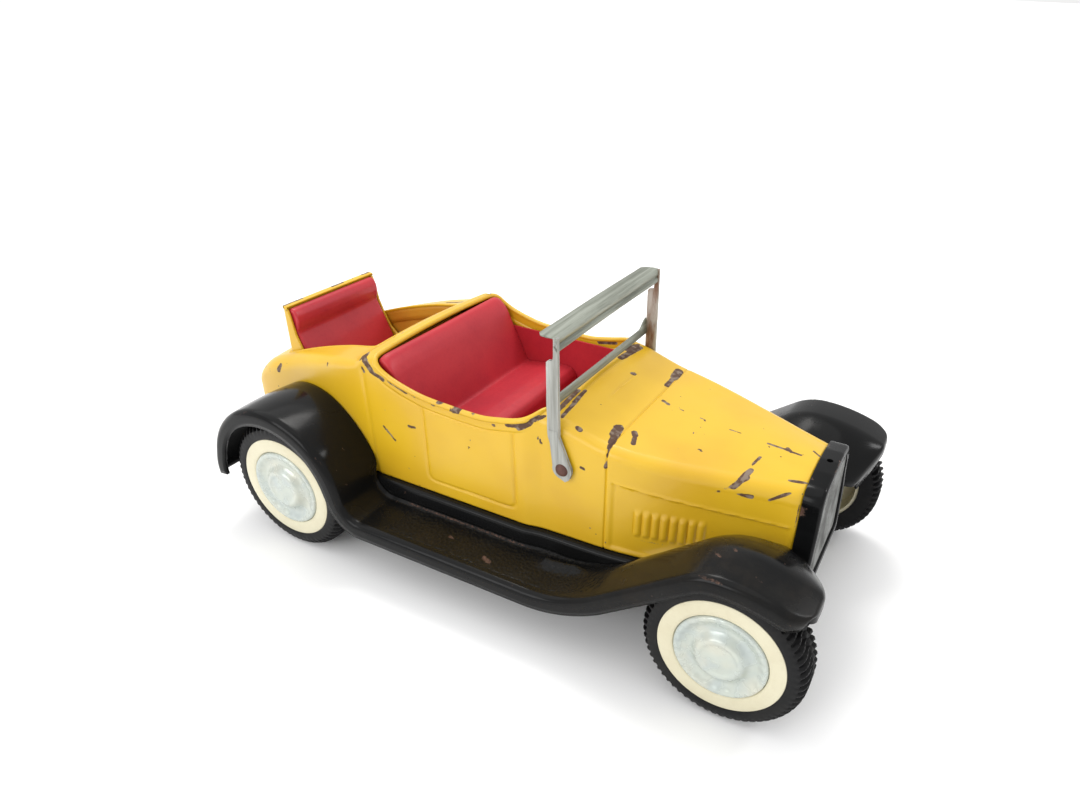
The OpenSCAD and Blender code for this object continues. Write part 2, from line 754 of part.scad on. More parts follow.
module wheel(x, side, bore) {
    color("ivory") car() at_wheel(x, side) rotate_extrude($fn = 96) polygon([
        [bore, -wheel_in], [4, -wheel_in], [4, -dish - 1.4], [barrel_r - 1.1, -dish - 1.4],
        [barrel_r - 1.1, -wheel_in], [barrel_r, -wheel_in], [barrel_r, -rim_t], [disc_r, -rim_t],
        [disc_r, 0], [cap_r + 0.2, 0], [cap_r + 0.2, -dish], [bore, -dish]
    ]);
}

module hubcap(x, side) {
    color("whitesmoke") car() at_wheel(x, side) rotate_extrude($fn = 96) polygon([
        [0, 0.6], [0, 1.6], [6, 1.6], [7.2, 0.7], [11.5, 0.5], [13, -0.1], [cap_r, -1],
        [cap_r, seated - dish], [cap_r - 1, seated - dish], [cap_r - 1, -1.4],
        [12.6, -0.9], [11, -0.3], [6, -0.1], [5, 0.6]
    ]);
}

module tyre_rear_left() { tyre(0, 1); }
module tyre_rear_right() { tyre(0, -1); }
module tyre_front_left() { tyre(wheelbase, 1); }
module tyre_front_right() { tyre(wheelbase, -1); }
module wheel_rear_left() { wheel(0, 1, axle_r + seated); }
module wheel_rear_right() { wheel(0, -1, axle_r + seated); }
module wheel_front_left() { wheel(wheelbase, 1, axle_r + running); }
module wheel_front_right() { wheel(wheelbase, -1, axle_r + running); }
module hubcap_rear_left() { hubcap(0, 1); }
module hubcap_rear_right() { hubcap(0, -1); }
module hubcap_front_left() { hubcap(wheelbase, 1); }
module hubcap_front_right() { hubcap(wheelbase, -1); }

body_shell();
chassis_frame();
fender_left();
fender_right();
radiator_shell();
radiator_grille();
interior_tub();
front_seat();
rumble_tub();
windshield_rivets();
lid_pins();
front_axle();
axle_washers();
body_screws();
motor_plate_left();
motor_plate_right();
motor_pillars();
motor_rivets();
windshield_frame();
rumble_lid();
rumble_pad();
rear_axle();
drive_gear();
tyre_rear_left();
tyre_rear_right();
wheel_rear_left();
wheel_rear_right();
hubcap_rear_left();
hubcap_rear_right();
tyre_front_left();
wheel_front_left();
hubcap_front_left();
tyre_front_right();
wheel_front_right();
hubcap_front_right();
idler_shaft();
idler_pinion();
idler_gear();
flywheel_shaft();
flywheel_pinion();
flywheel();
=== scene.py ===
import math

import bpy
import numpy as np
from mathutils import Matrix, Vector


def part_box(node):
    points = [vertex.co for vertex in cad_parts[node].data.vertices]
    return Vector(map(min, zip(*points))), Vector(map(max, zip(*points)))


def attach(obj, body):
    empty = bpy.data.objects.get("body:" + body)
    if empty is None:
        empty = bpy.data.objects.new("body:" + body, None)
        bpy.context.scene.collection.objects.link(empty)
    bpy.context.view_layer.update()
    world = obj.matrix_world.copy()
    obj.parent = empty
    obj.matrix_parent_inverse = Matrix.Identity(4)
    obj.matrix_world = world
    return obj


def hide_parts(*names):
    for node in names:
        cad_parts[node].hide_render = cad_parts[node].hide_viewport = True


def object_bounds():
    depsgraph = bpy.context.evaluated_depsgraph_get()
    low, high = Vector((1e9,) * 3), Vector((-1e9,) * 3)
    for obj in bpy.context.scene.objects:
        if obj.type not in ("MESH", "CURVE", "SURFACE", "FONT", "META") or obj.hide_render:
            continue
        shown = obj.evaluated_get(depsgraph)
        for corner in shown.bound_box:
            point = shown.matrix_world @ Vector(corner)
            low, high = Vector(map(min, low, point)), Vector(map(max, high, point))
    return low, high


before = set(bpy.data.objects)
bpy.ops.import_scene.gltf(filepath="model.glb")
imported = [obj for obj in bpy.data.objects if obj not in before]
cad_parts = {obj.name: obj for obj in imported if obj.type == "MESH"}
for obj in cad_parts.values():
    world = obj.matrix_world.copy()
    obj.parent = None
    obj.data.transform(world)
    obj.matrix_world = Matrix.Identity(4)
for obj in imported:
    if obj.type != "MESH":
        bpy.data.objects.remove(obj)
cad_low, cad_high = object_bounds()


# ---------------------------------------------------------------------------
# Studio. The toy stands on a wide sheet of white paper in an even white room,
# under a large soft light from above and behind, with a broad fill in front.
# ---------------------------------------------------------------------------
MM = 0.001
GROUND_SIZE = 80.0

rear_low, rear_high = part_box("rear_axle")
rear_axle_x = (rear_low.x + rear_high.x) / 2


def at(x, y, z):
    """Metres in the part's frame, from millimetres forward of the rear axle."""
    return Vector((rear_axle_x + x * MM, y * MM, z * MM))


def put(tree, kind, inputs=None, **settings):
    """Adds a shader node, sets it up and joins its inputs."""
    made = tree.nodes.new(kind)
    for name, value in settings.items():
        setattr(made, name, value)
    for name, value in (inputs or {}).items():
        if isinstance(value, bpy.types.NodeSocket):
            tree.links.new(value, made.inputs[name])
        else:
            made.inputs[name].default_value = value
    return made


def sums(tree, operation, *values):
    return put(tree, "ShaderNodeMath", dict(enumerate(values)), operation=operation).outputs[0]


def ramp(tree, value, low, high, out_low=0.0, out_high=1.0):
    """A smooth step of a value between two levels."""
    inputs = {"Value": value, "From Min": low, "From Max": high, "To Min": out_low, "To Max": out_high}
    return put(tree, "ShaderNodeMapRange", inputs, interpolation_type="SMOOTHSTEP").outputs["Result"]


def blend(tree, share, first, second):
    return put(tree, "ShaderNodeMix", {0: share, 6: first, 7: second}, data_type="RGBA").outputs[2]


def new_material(name):
    made = bpy.data.materials.new(name)
    made.use_nodes = True
    tree = made.node_tree
    return made, tree, tree.nodes["Principled BSDF"]


def roughen(tree, shader, height, distance):
    """Small relief in a finish, in metres."""
    bump = put(tree, "ShaderNodeBump", {"Height": height, "Distance": distance, "Strength": 1.0})
    tree.links.new(bump.outputs["Normal"], shader.inputs["Normal"])


paper, paper_tree, paper_shader = new_material("white_paper")
paper_place = put(paper_tree, "ShaderNodeTexCoord").outputs["Object"]
paper_mottle = put(paper_tree, "ShaderNodeTexNoise", {"Vector": paper_place, "Scale": 9.0}).outputs["Fac"]
paper_colour = blend(paper_tree, paper_mottle, (0.93, 0.93, 0.93, 1), (0.95, 0.95, 0.95, 1))
paper_tree.links.new(paper_colour, paper_shader.inputs["Base Color"])
paper_shader.inputs["Roughness"].default_value = 0.9
paper_shader.inputs["Specular IOR Level"].default_value = 0.1

ground_mesh = bpy.data.meshes.new("paper_floor")
reach = GROUND_SIZE / 2
ground_mesh.from_pydata(
    [(-reach, -reach, 0), (reach, -reach, 0), (reach, reach, 0), (-reach, reach, 0)], [], [(0, 1, 2, 3)]
)
ground_mesh.materials.append(paper)
ground = bpy.data.objects.new("paper_floor", ground_mesh)
ground.location.z = cad_low.z
bpy.context.scene.collection.objects.link(ground)

world = bpy.data.worlds.new("studio")
world.use_nodes = True
world.node_tree.nodes["Background"].inputs["Color"].default_value = (1.0, 1.0, 1.0, 1)
world.node_tree.nodes["Background"].inputs["Strength"].default_value = 0.88
bpy.context.scene.world = world
bpy.context.scene.view_settings.view_transform = "Standard"


def soft_light(name, place, aim, width, height, power, colour=(1, 1, 1)):
    lamp = bpy.data.lights.new(name, "AREA")
    lamp.shape = "RECTANGLE"
    lamp.size = width
    lamp.size_y = height
    lamp.energy = power
    lamp.color = colour
    holder = bpy.data.objects.new(name, lamp)
    holder.location = place
    holder.rotation_euler = (Vector(aim) - Vector(place)).to_track_quat("-Z", "Y").to_euler()
    bpy.context.scene.collection.objects.link(holder)


sky_lamp = bpy.data.lights.new("sky_panel", "SUN")
sky_lamp.energy = 0.95
sky_lamp.angle = math.radians(75)
sky_panel = bpy.data.objects.new("sky_panel", sky_lamp)
sky_panel.rotation_euler = Vector((-0.40, -0.05, 1.0)).to_track_quat("Z", "Y").to_euler()
bpy.context.scene.collection.objects.link(sky_panel)
soft_light("top_light", (-0.25, 0.30, 0.90), (0.02, 0, 0.04), 0.35, 0.25, 2.6, (1.0, 0.98, 0.95))
soft_light("window_light", (0.60, 0.40, 0.60), (0.05, 0, 0.04), 0.14, 0.20, 1.2)
soft_light("front_fill", (-0.30, -0.85, 0.45), (0, 0, 0.04), 0.6, 0.4, 3.0)

camera_data = bpy.data.cameras.new("camera")
camera_data.sensor_width = 36.0
camera_data.lens = 25.55
camera_data.shift_x = -0.0918
camera_data.shift_y = -0.0065
camera_data.clip_start = 0.01
camera = bpy.data.objects.new("camera", camera_data)
camera_right = Vector((0.89770, 0.43885, 0.03922)).normalized()
camera_back = Vector((0.36829, -0.79625, 0.47995)).normalized()
camera_up = camera_back.cross(camera_right)
camera_turn = camera.matrix_world.to_3x3()
camera_turn.col[0] = camera_right
camera_turn.col[1] = camera_up
camera_turn.col[2] = camera_back
camera.matrix_world = camera_turn.to_4x4()
camera.location = at(224.5, -223.0, 205.9)
bpy.context.scene.collection.objects.link(camera)
bpy.context.scene.camera = camera


# ---------------------------------------------------------------------------
# Body. One pressed steel shell in chrome yellow: rounded tail, rumble seat
# opening, cockpit with a rolled rim, cowl and hood, with the doors, the seam,
# the hood ledge and the louvres pressed into the sheet. Its foot is folded
# over the chassis and held by screws. Play has chipped it down to bare metal.
# ---------------------------------------------------------------------------
SHEET = 0.9
SILL_Z = 30.5
TAIL_X = -48.0
HOOD_X = 189.0
SEAM_X = 127.0
COCKPIT = (31.0, 103.7)
DECK = (-28.8, 21.5)
DECK_HALF = 25.0


def smooth_line(points):
    """A smooth curve through given points that never overshoots them."""
    xs, ys = np.array(points, float).T
    step = np.diff(xs)
    rise = np.diff(ys) / step
    slope = np.zeros(len(xs))
    slope[0], slope[-1] = rise[0], rise[-1]
    for i in range(1, len(xs) - 1):
        if rise[i - 1] * rise[i] > 0:
            before = 2 * step[i] + step[i - 1]
            after = step[i] + 2 * step[i - 1]
            slope[i] = (before + after) / (before / rise[i - 1] + after / rise[i])

    def value(x):
        x = np.clip(x, xs[0], xs[-1])
        i = np.clip(np.searchsorted(xs, x) - 1, 0, len(xs) - 2)
        t = (x - xs[i]) / step[i]
        start = ys[i] * (1 + 2 * t) * (1 - t) ** 2 + slope[i] * step[i] * t * (1 - t) ** 2
        end = ys[i + 1] * t * t * (3 - 2 * t) + slope[i + 1] * step[i] * t * t * (t - 1)
        return start + end

    return value


belt_at = smooth_line([
    (-48, 23.6), (-46.5, 27), (-44, 28.7), (-37, 30.5), (-20, 32.3), (0, 35.3), (26, 38.6),
    (95, 38.6), (103, 36.8), (127, 35.4), (189, 19),
])
foot_at = smooth_line([
    (-48, 23.6), (-46.5, 27), (-44, 28.7), (-37, 30.5), (-20, 32.3), (0, 35.3), (26, 38.6),
    (95, 38.6), (103, 37.4), (127, 36.6), (189, 24.4),
])
top_at = smooth_line([
    (-48, 50), (-46.5, 53.3), (-44, 55.6), (-37, 61.2), (-27, 66), (-10, 72), (8, 76.6),
    (22, 79.4), (28, 82.8), (103, 79.2), (127, 71.6), (189, 66.6),
])
shoulder_at = smooth_line([(-48, 6), (-20, 6.4), (28, 3), (103, 5.5), (127, 4.5), (189, 6.5)])
crown_at = smooth_line([(-48, 1), (-20, 2), (28, 1.5), (103, 2), (127, 0.8), (189, 1.8)])
rim_share = smooth_line([
    (0, 81.6), (0.055, 77.8), (0.18, 74), (0.36, 71.4), (0.65, 70.6), (0.78, 72), (0.89, 74), (1, 78.6),
])


def rim_at(x):
    return rim_share((np.asarray(x, float) - COCKPIT[0]) / (COCKPIT[1] - COCKPIT[0]))


body_columns = np.unique(np.round(np.concatenate([
    TAIL_X + np.array([0, 0.1, 0.3, 0.6, 1.0, 1.5, 2.1, 2.8, 3.6, 4.5, 5.5]),
    np.arange(-41.5, DECK[0], 0.9), np.arange(DECK[0], DECK[1], 0.838),
    np.arange(DECK[1], 28, 0.5), np.arange(28, COCKPIT[0], 0.5), [COCKPIT[0]],
    np.arange(COCKPIT[0], COCKPIT[1], 0.727), [COCKPIT[1]],
    np.arange(104.2, 125.8, 0.6), np.arange(125.8, 128.4, 0.2), np.arange(128.4, 136, 0.55),
    np.arange(136, 162, 0.32), np.arange(162, HOOD_X, 0.6), [HOOD_X],
]), 3))
side_rows = np.concatenate([np.linspace(0, 0.74, 58, endpoint=False), np.linspace(0.74, 1, 34)])
CROWN_EDGE_ROWS = 12
CROWN_ROWS = 30


def half_section(x):
    """One side of the body across x, from its foot to the centre line."""
    foot, belt, top = foot_at(x), belt_at(x), top_at(x)
    shoulder, drop = shoulder_at(x), crown_at(x)
    turn = np.linspace(0, math.pi / 2, 40)
    y = np.concatenate([np.linspace(foot, belt, 60)[:-1], belt - shoulder + shoulder * np.cos(turn)])
    z = np.concatenate([
        np.linspace(SILL_Z, top - drop - shoulder, 60)[:-1],
        top - drop - shoulder + shoulder * np.sin(turn),
    ])
    if COCKPIT[0] < x < COCKPIT[1] and rim_at(x) < z[-1]:
        edge_y = np.interp(rim_at(x), z, y)
        y = np.append(y[z < rim_at(x)], edge_y)
        z = np.append(z[z < rim_at(x)], rim_at(x))
    run = np.append(0, np.cumsum(np.hypot(np.diff(y), np.diff(z))))
    side = [np.interp(side_rows * run[-1], run, values) for values in (y, z)]
    flat = belt - shoulder
    opening = min(DECK_HALF, flat * 0.97)
    crown_y = np.concatenate([
        np.linspace(flat, opening, CROWN_EDGE_ROWS + 1)[1:], np.linspace(opening, 0, CROWN_ROWS + 1)[1:],
    ])
    crown_z = top - drop * (crown_y / flat) ** 2
    return np.concatenate([side[0], crown_y]), np.concatenate([side[1], crown_z])


def step_up(value, low, high):
    share = np.clip((value - low) / (high - low), 0, 1)
    return share * share * (3 - 2 * share)


def line(value, width):
    return np.exp(-((value / width) ** 2))


DOOR_X = 72.5
DOOR_HALF = 19.5
DOOR_FOOT_Z = 36.0
LOUVRE_X = 137.2
LOUVRE_PITCH = 3.05
LOUVRES = 8
COWL_LINE_X = 115


def pressed_relief(x, y, z):
    """How far the pressing stands out of the smooth body form."""
    side = step_up(np.abs(y), 12, 17)
    depth = -0.42 * line(x - SEAM_X, 0.34)
    # rolled band under the cockpit rim
    below_rim = rim_at(x) - z
    along = step_up(x, 29, 33) * (1 - step_up(x, 93, 99))
    depth = depth + along * 0.32 * (1 - step_up(below_rim, 3.9, 4.9))
    depth = depth - along * 0.16 * line(below_rim - 4.8, 0.5)
    # crease where the tail meets the cabin side
    depth = depth - 0.34 * line(x - 26.3 + (z - 60) * 0.02, 0.9) * side * (1 - step_up(z, 74, 78))
    # door panel, a groove with rounded corners
    reach_x = np.abs(x - DOOR_X) - DOOR_HALF
    reach_z = DOOR_FOOT_Z - z
    corner = np.hypot(np.maximum(reach_x + 3, 0), np.maximum(reach_z + 3, 0)) - 3
    edge = np.where((reach_x > -3) | (reach_z > -3), corner, np.maximum(reach_x, reach_z))
    door_top = 1 - step_up(below_rim, 4.6, 5.2)
    depth = depth - 0.42 * line(edge, 0.55) * side * (1 - door_top)
    at_door = np.abs(x - DOOR_X) < 24
    depth = depth + 0.22 * (1 - step_up(edge, -0.6, 0.2)) * side * (1 - door_top) * at_door
    # ledge along the hood's side, with the panel below it set in
    ledge = z - (58.2 - (x - SEAM_X) * 7.8 / 63)
    panel = step_up(x, SEAM_X + 1.5, SEAM_X + 3.2) * (1 - step_up(x, 186.2, 187.6)) * side
    depth = depth - 0.55 * panel * (1 - step_up(ledge, -0.25, 0.25)) * step_up(z, 31.2, 32.6)
    depth = depth + 0.22 * panel * line(ledge - 0.5, 0.45)
    # louvres
    share = (x - LOUVRE_X) / LOUVRE_PITCH
    inside = (share > 0) & (share < LOUVRES - 0.01)
    bulge = np.maximum(0, np.sin(math.pi * np.mod(share, 1))) ** 0.7
    ends = step_up(z, 38.2, 40.2) * (1 - step_up(z, 47.2, 49.8))
    depth = depth + np.where(inside, 0.95 * bulge - 0.3, 0) * ends * side
    # stamped line across the cowl
    across_cowl = line(x - COWL_LINE_X, 0.35) * step_up(y, -13, -10) * (1 - step_up(y, 9, 12))
    return depth - 0.28 * across_cowl * (z > 70)


def section_grid():
    rings = []
    for x in body_columns:
        y, z = half_section(x)
        ring_y = np.concatenate([-y, y[:-1][::-1]])
        ring_z = np.concatenate([z, z[:-1][::-1]])
        rings.append(np.stack([np.full(len(ring_y), x), ring_y, ring_z], 1))
    grid = np.array(rings)
    run = np.gradient(grid, axis=0)
    around = np.gradient(grid, axis=1)
    out = np.cross(run, around)
    out /= np.linalg.norm(out, axis=2, keepdims=True) + 1e-9
    centre = np.array([0, 0, 50.0])
    if ((grid - centre) * out)[..., 1:].sum() < 0:
        out = -out
    out[:4] *= np.array([0, 1, 1])
    relief = pressed_relief(grid[..., 0], grid[..., 1], grid[..., 2])
    relief = relief * step_up(grid[..., 0], TAIL_X, TAIL_X + 4)
    return grid + out * relief[..., None]


def segment_wear(points, marks):
    """Wear at each point from marks given as (x, y, z), (x, y, z), radius, strength."""
    total = np.zeros(points.shape[:-1])
    for start, end, radius, strength in marks:
        a, b = np.array(start, float), np.array(end, float)
        run = b - a
        share = np.clip(((points - a) @ run) / max(run @ run, 1e-6), 0, 1)
        gap = np.linalg.norm(points - (a + share[..., None] * run), axis=-1)
        total = np.maximum(total, strength * (1 - step_up(gap, radius * 0.45, radius * 1.5)))
    return total


def skin(name, grid, rows_closed=False, columns_closed=False, drop=None, caps=False, marks=None):
    """A smooth mesh over a grid of points in millimetres from the rear axle."""
    columns, rows = grid.shape[:2]
    i = np.arange(columns if columns_closed else columns - 1)
    j = np.arange(rows if rows_closed else rows - 1)
    i, j = np.meshgrid(i, j, indexing="ij")
    next_i, next_j = (i + 1) % columns, (j + 1) % rows
    quads = np.stack([i * rows + j, i * rows + next_j, next_i * rows + next_j, next_i * rows + j], -1)
    quads = quads[~drop] if drop is not None else quads.reshape(-1, 4)
    faces = quads.tolist()
    if caps:
        faces.append(list(range(rows)))
        faces.append([(columns - 1) * rows + k for k in reversed(range(rows))])
    flat = grid.reshape(-1, 3)
    used = np.unique(quads)
    if caps:
        used = np.arange(len(flat))
    place = np.full(len(flat), -1)
    place[used] = np.arange(len(used))
    points = flat[used]
    faces = [[int(place[k]) for k in face] for face in faces]
    mesh = bpy.data.meshes.new(name)
    mesh.from_pydata([tuple(at(*p)) for p in points.tolist()], [], faces)
    mesh.update()
    normals = np.zeros(len(mesh.polygons) * 3)
    centres = np.zeros(len(mesh.polygons) * 3)
    mesh.polygons.foreach_get("normal", normals)
    mesh.polygons.foreach_get("center", centres)
    centres = centres.reshape(-1, 3)
    if ((centres - centres.mean(0)) * normals.reshape(-1, 3)).sum() < 0:
        mesh.flip_normals()
    mesh.shade_smooth()
    mesh.set_sharp_from_angle(angle=math.radians(42))
    if marks is not None:
        layer = mesh.attributes.new("wear", "FLOAT", "POINT")
        layer.data.foreach_set("value", segment_wear(points, marks).astype(np.float32))
    made = bpy.data.objects.new(name, mesh)
    bpy.context.scene.collection.objects.link(made)
    return made


def thicken(piece, thickness):
    sheet = piece.modifiers.new("sheet", "SOLIDIFY")
    sheet.thickness = thickness * MM
    sheet.offset = -1
    return piece


# Chips and scratches on the body, and a painted shadow line along the hood's foot under the fender's edge:
# two ends, radius and strength of each.
BODY_MARKS = [
    ((25.6, -34, 81.6), (27.4, -36.6, 80.8), 1.1, 0.9), ((26.6, -37, 80.4), (30.6, -38.3, 77), 1.5, 1.0),
    ((30.6, -38.2, 76), (36, -38.6, 74.2), 1.1, 0.95), ((25.6, -37.4, 78.6), (27, -38.2, 75), 0.9, 0.85),
    ((39, -38.8, 74.2), (46.7, -38.8, 71.6), 0.8, 0.8), ((49, -38.8, 71.5), (50.5, -38.8, 70.8), 0.6, 0.7),
    ((58.6, -38.9, 70.2), (62.5, -38.9, 71.8), 0.95, 0.9),
    ((67.5, -38.9, 70.3), (70.5, -38.9, 70.8), 1.3, 1.0),
    ((76, -38.9, 70.7), (81, -38.9, 70.3), 0.9, 0.9), ((84.4, -38.9, 69.2), (85, -38.9, 69), 0.6, 0.8),
    ((90.5, -38.6, 71.2), (96, -38.3, 72.4), 1.2, 1.0), ((95, -38.4, 70.8), (99, -37.6, 73.6), 1.0, 1.0),
    ((99, -37.4, 74.4), (103, -35.2, 76.4), 0.9, 0.9),
    ((101.6, -36.9, 68.4), (102.6, -36.8, 66.4), 0.6, 0.75),
    ((12, 28.4, 77), (19, 29.8, 78.2), 1.2, 0.85), ((20, 29.8, 78.8), (24, 31, 80.6), 1.5, 1.0),
    ((29.5, 29, 82.4), (31, 35, 81.6), 0.8, 0.9), ((14.5, -8.4, 78), (17.5, -8.2, 78.4), 0.8, 0.8),
    ((8.5, 1, 77), (12, 0, 78), 0.7, 0.6), ((45.6, -38.8, 57), (48.6, -38.8, 57.2), 0.7, 0.75),
    ((-28.7, -31.3, 58.2), (-27.6, -31.3, 60.6), 1.2, 0.9),
    ((-41.7, -28.6, 55.2), (-40.2, -29, 56.2), 1.0, 0.8),
    ((-15.3, -32.6, 66), (-14.6, -32.6, 66.4), 0.7, 0.75),
    ((5.6, -35.9, 70.8), (5.8, -35.9, 71.8), 0.7, 0.7),
    ((-33, -30.6, 41), (-27, -31.2, 44), 0.9, 0.7), ((33, -38.6, 53.5), (38, -38.6, 48.5), 0.7, 0.65),
    ((105.6, -31.5, 77), (105.6, -17, 78.4), 0.9, 1.0),
    ((108.4, -32.5, 76.4), (107.4, -15.5, 77.8), 0.75, 1.0),
    ((106.4, 14, 78.2), (107.4, 29.5, 77.2), 1.35, 1.0), ((105.4, 22, 78.3), (105.8, 31, 77.6), 1.2, 1.0),
    ((114, 8.6, 76), (114.8, 9.6, 75.6), 0.9, 0.9), ((114.6, -33, 74), (115.6, -33, 73.4), 0.9, 0.9),
    ((124.8, -22.6, 72.2), (125.4, -27, 71.6), 1.9, 1.0),
    ((125.6, -27, 71.6), (126.4, -31, 70.6), 1.35, 1.0),
    ((126.5, -32.4, 69.6), (126.5, -33.8, 67.6), 1.3, 1.0),
    ((126.5, -33.8, 67.6), (126.6, -35.3, 63.6), 0.7, 1.0),
    ((130.2, -21.6, 71.2), (131.2, -23, 71), 1.2, 1.0),
    ((131.2, -23, 71), (132.6, -27.4, 70.4), 0.9, 1.0), ((126.2, 14, 71.8), (126, 22, 72), 1.1, 1.0),
    ((126, 22, 72), (125.2, 28, 71.6), 1.9, 1.0), ((129.6, 3, 71.4), (132.4, 2, 71.2), 0.75, 0.95),
    ((136.4, 2.2, 71), (138.4, 1.6, 70.8), 0.75, 0.9), ((145.4, 1.2, 70.1), (147.6, 0.2, 69.9), 0.7, 0.9),
    ((157, 0, 69.2), (161, 0, 69), 0.65, 1.0), ((171, -0.8, 68.1), (183, -1.2, 67.2), 0.55, 1.0),
    ((178, 0.4, 67.6), (179.6, -1.4, 67.5), 0.7, 0.95),
    ((152.2, -17.2, 69.2), (153.4, -17.6, 69), 0.8, 1.0),
    ((145.6, -20.7, 69.6), (146.4, -20.8, 69.4), 0.6, 0.75),
    ((153.4, -23.1, 68.6), (153.8, -23, 68.6), 0.6, 0.8),
    ((160.7, -26.2, 60.9), (163.4, -25.6, 61.4), 1.3, 1.0),
    ((163, -25.6, 61.6), (168, -23.8, 63.4), 1.15, 1.3),
    ((167.6, -23.9, 63.2), (170.4, -21, 65.8), 1.3, 1.2), ((170, -20.6, 66), (171, -17.4, 67.2), 1.0, 1.3),
    ((170.4, -15, 67.7), (171.4, -9.8, 68), 0.8, 1.25),
    ((166, -24.8, 61.4), (173.6, -23.2, 60.7), 0.8, 1.3),
    ((179.1, -21.4, 60.2), (186, -18.6, 63.8), 0.6, 1.0),
    ((183, -15.4, 65.9), (188.6, -13, 64.2), 0.7, 1.0), ((174.2, -18, 66.7), (174.8, -18, 66.6), 0.6, 0.85),
    ((140, -32, 61.2), (141.4, -31.8, 61.2), 0.5, 0.7), ((186, 4, 66.8), (188.6, 2, 66.6), 0.6, 0.75),
    ((151, 11, 69.6), (152.6, 10.6, 69.4), 0.55, 0.75), ((146, 14.6, 69.9), (147, 14.2, 69.8), 0.55, 0.7),
    ((166.6, 7.8, 68.3), (167.6, 7.4, 68.3), 0.55, 0.75),
    ((117.8, -35.9, 61), (118.8, -35.8, 60.6), 0.7, 0.8),
    # the first mark here is a painted shadow under the fender's edge along the hood's foot, drawn as a brown
    # line of chipped paint
    ((137.5, -35.4, 37.4), (160, -30.9, 37.6), 0.6, 0.85), ((188.4, -19, 60), (188.8, -22, 46), 0.5, 0.6),
    ((188.6, -17.4, 63), (188.8, 17, 64), 0.5, 0.5), ((60, 38.9, 70.6), (64, 38.9, 70.8), 0.9, 0.8),
    ((84, 38.8, 70), (92, 38.6, 71.6), 0.9, 0.85), ((-45, 8, 54), (-44.6, 12, 54.4), 1.0, 0.8),
]

body_grid = section_grid()
half_rows = len(side_rows) + CROWN_EDGE_ROWS + CROWN_ROWS
centre_row = half_rows - 1
mid_x = (body_columns[:-1] + body_columns[1:]) / 2
row_index = np.arange(body_grid.shape[1] - 1) + 0.5
from_centre = np.abs(row_index - centre_row)
in_cabin = (mid_x > COCKPIT[0]) & (mid_x < COCKPIT[1])
in_deck = (mid_x > DECK[0]) & (mid_x < DECK[1])
cut = in_cabin[:, None] & (from_centre < CROWN_EDGE_ROWS + CROWN_ROWS)[None, :]
cut |= in_deck[:, None] & (from_centre < CROWN_ROWS)[None, :]
# the flat back of the tail, drawn in towards the middle of its foot
back_rings = []
for share in np.linspace(0, 0.98, 14):
    ring = body_grid[0].copy()
    ring[:, 1] *= share
    ring[:, 2] = SILL_Z + (ring[:, 2] - SILL_Z) * (0.02 + 0.98 * share)
    back_rings.append(ring)
shell_grid = np.concatenate([np.array(back_rings), body_grid])
cut = np.concatenate([np.zeros((len(back_rings), cut.shape[1]), bool), cut])
body_shell = thicken(skin("yellow_body", shell_grid, drop=cut, marks=BODY_MARKS), SHEET)
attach(body_shell, "chassis")
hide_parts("body_shell")

worn_paint = bpy.data.node_groups.new("worn_paint", "ShaderNodeTree")
for socket_name, kind in (
    ("Paint", "NodeSocketColor"), ("Shade", "NodeSocketColor"), ("Bare", "NodeSocketColor"),
    ("Scar", "NodeSocketColor"), ("Wear", "NodeSocketFloat"), ("Specks", "NodeSocketFloat"),
    ("Gloss", "NodeSocketFloat"),
):
    worn_paint.interface.new_socket(name=socket_name, in_out="INPUT", socket_type=kind)
for socket_name, kind in (
    ("Color", "NodeSocketColor"), ("Roughness", "NodeSocketFloat"), ("Height", "NodeSocketFloat"),
    ("Chips", "NodeSocketFloat"),
):
    worn_paint.interface.new_socket(name=socket_name, in_out="OUTPUT", socket_type=kind)
given = put(worn_paint, "NodeGroupInput").outputs
finish_out = put(worn_paint, "NodeGroupOutput")
paint_place = put(worn_paint, "ShaderNodeTexCoord").outputs["Object"]


def mottle(tree, place, scale, detail=2.0, rough=0.5):
    inputs = {"Vector": place, "Scale": scale, "Detail": detail, "Roughness": rough}
    return put(tree, "ShaderNodeTexNoise", inputs).outputs["Fac"]


ragged = mottle(worn_paint, paint_place, 760.0, 6.0, 0.72)
fine_specks = mottle(worn_paint, paint_place, 470.0, 2.0, 0.5)
speck_field = mottle(worn_paint, paint_place, 38.0, 1.0)
wear_sum = sums(worn_paint, "ADD", given["Wear"], sums(worn_paint, "MULTIPLY", ragged, 0.9))
chips = ramp(worn_paint, wear_sum, 0.93, 0.98)
speck_level = sums(worn_paint, "ADD", fine_specks, sums(worn_paint, "MULTIPLY", speck_field, 0.28))
specks = sums(worn_paint, "MULTIPLY", ramp(worn_paint, speck_level, 0.905, 0.925), given["Specks"])
chips = sums(worn_paint, "MAXIMUM", chips, specks)
rim_of_chip = ramp(worn_paint, wear_sum, 0.86, 0.93)
scar_mix = ramp(worn_paint, mottle(worn_paint, paint_place, 460.0, 4.0), 0.46, 0.62)
scar_mix = sums(worn_paint, "MAXIMUM", scar_mix, ramp(worn_paint, given["Wear"], 1.02, 1.15))
bare_colour = blend(worn_paint, scar_mix, given["Bare"], given["Scar"])
tone = mottle(worn_paint, paint_place, 24.0, 3.0)
paint_colour = blend(worn_paint, ramp(worn_paint, tone, 0.3, 0.75), given["Paint"], given["Shade"])
grime = mottle(worn_paint, paint_place, 95.0, 5.0, 0.65)
grime_share = sums(worn_paint, "MULTIPLY", ramp(worn_paint, grime, 0.52, 0.8), 0.22)
paint_colour = blend(worn_paint, grime_share, paint_colour, given["Shade"])
paint_colour = blend(worn_paint, sums(worn_paint, "MULTIPLY", rim_of_chip, 0.35), paint_colour, given["Scar"])
worn_colour = blend(worn_paint, chips, paint_colour, bare_colour)
smear = mottle(worn_paint, paint_place, 60.0, 4.0)
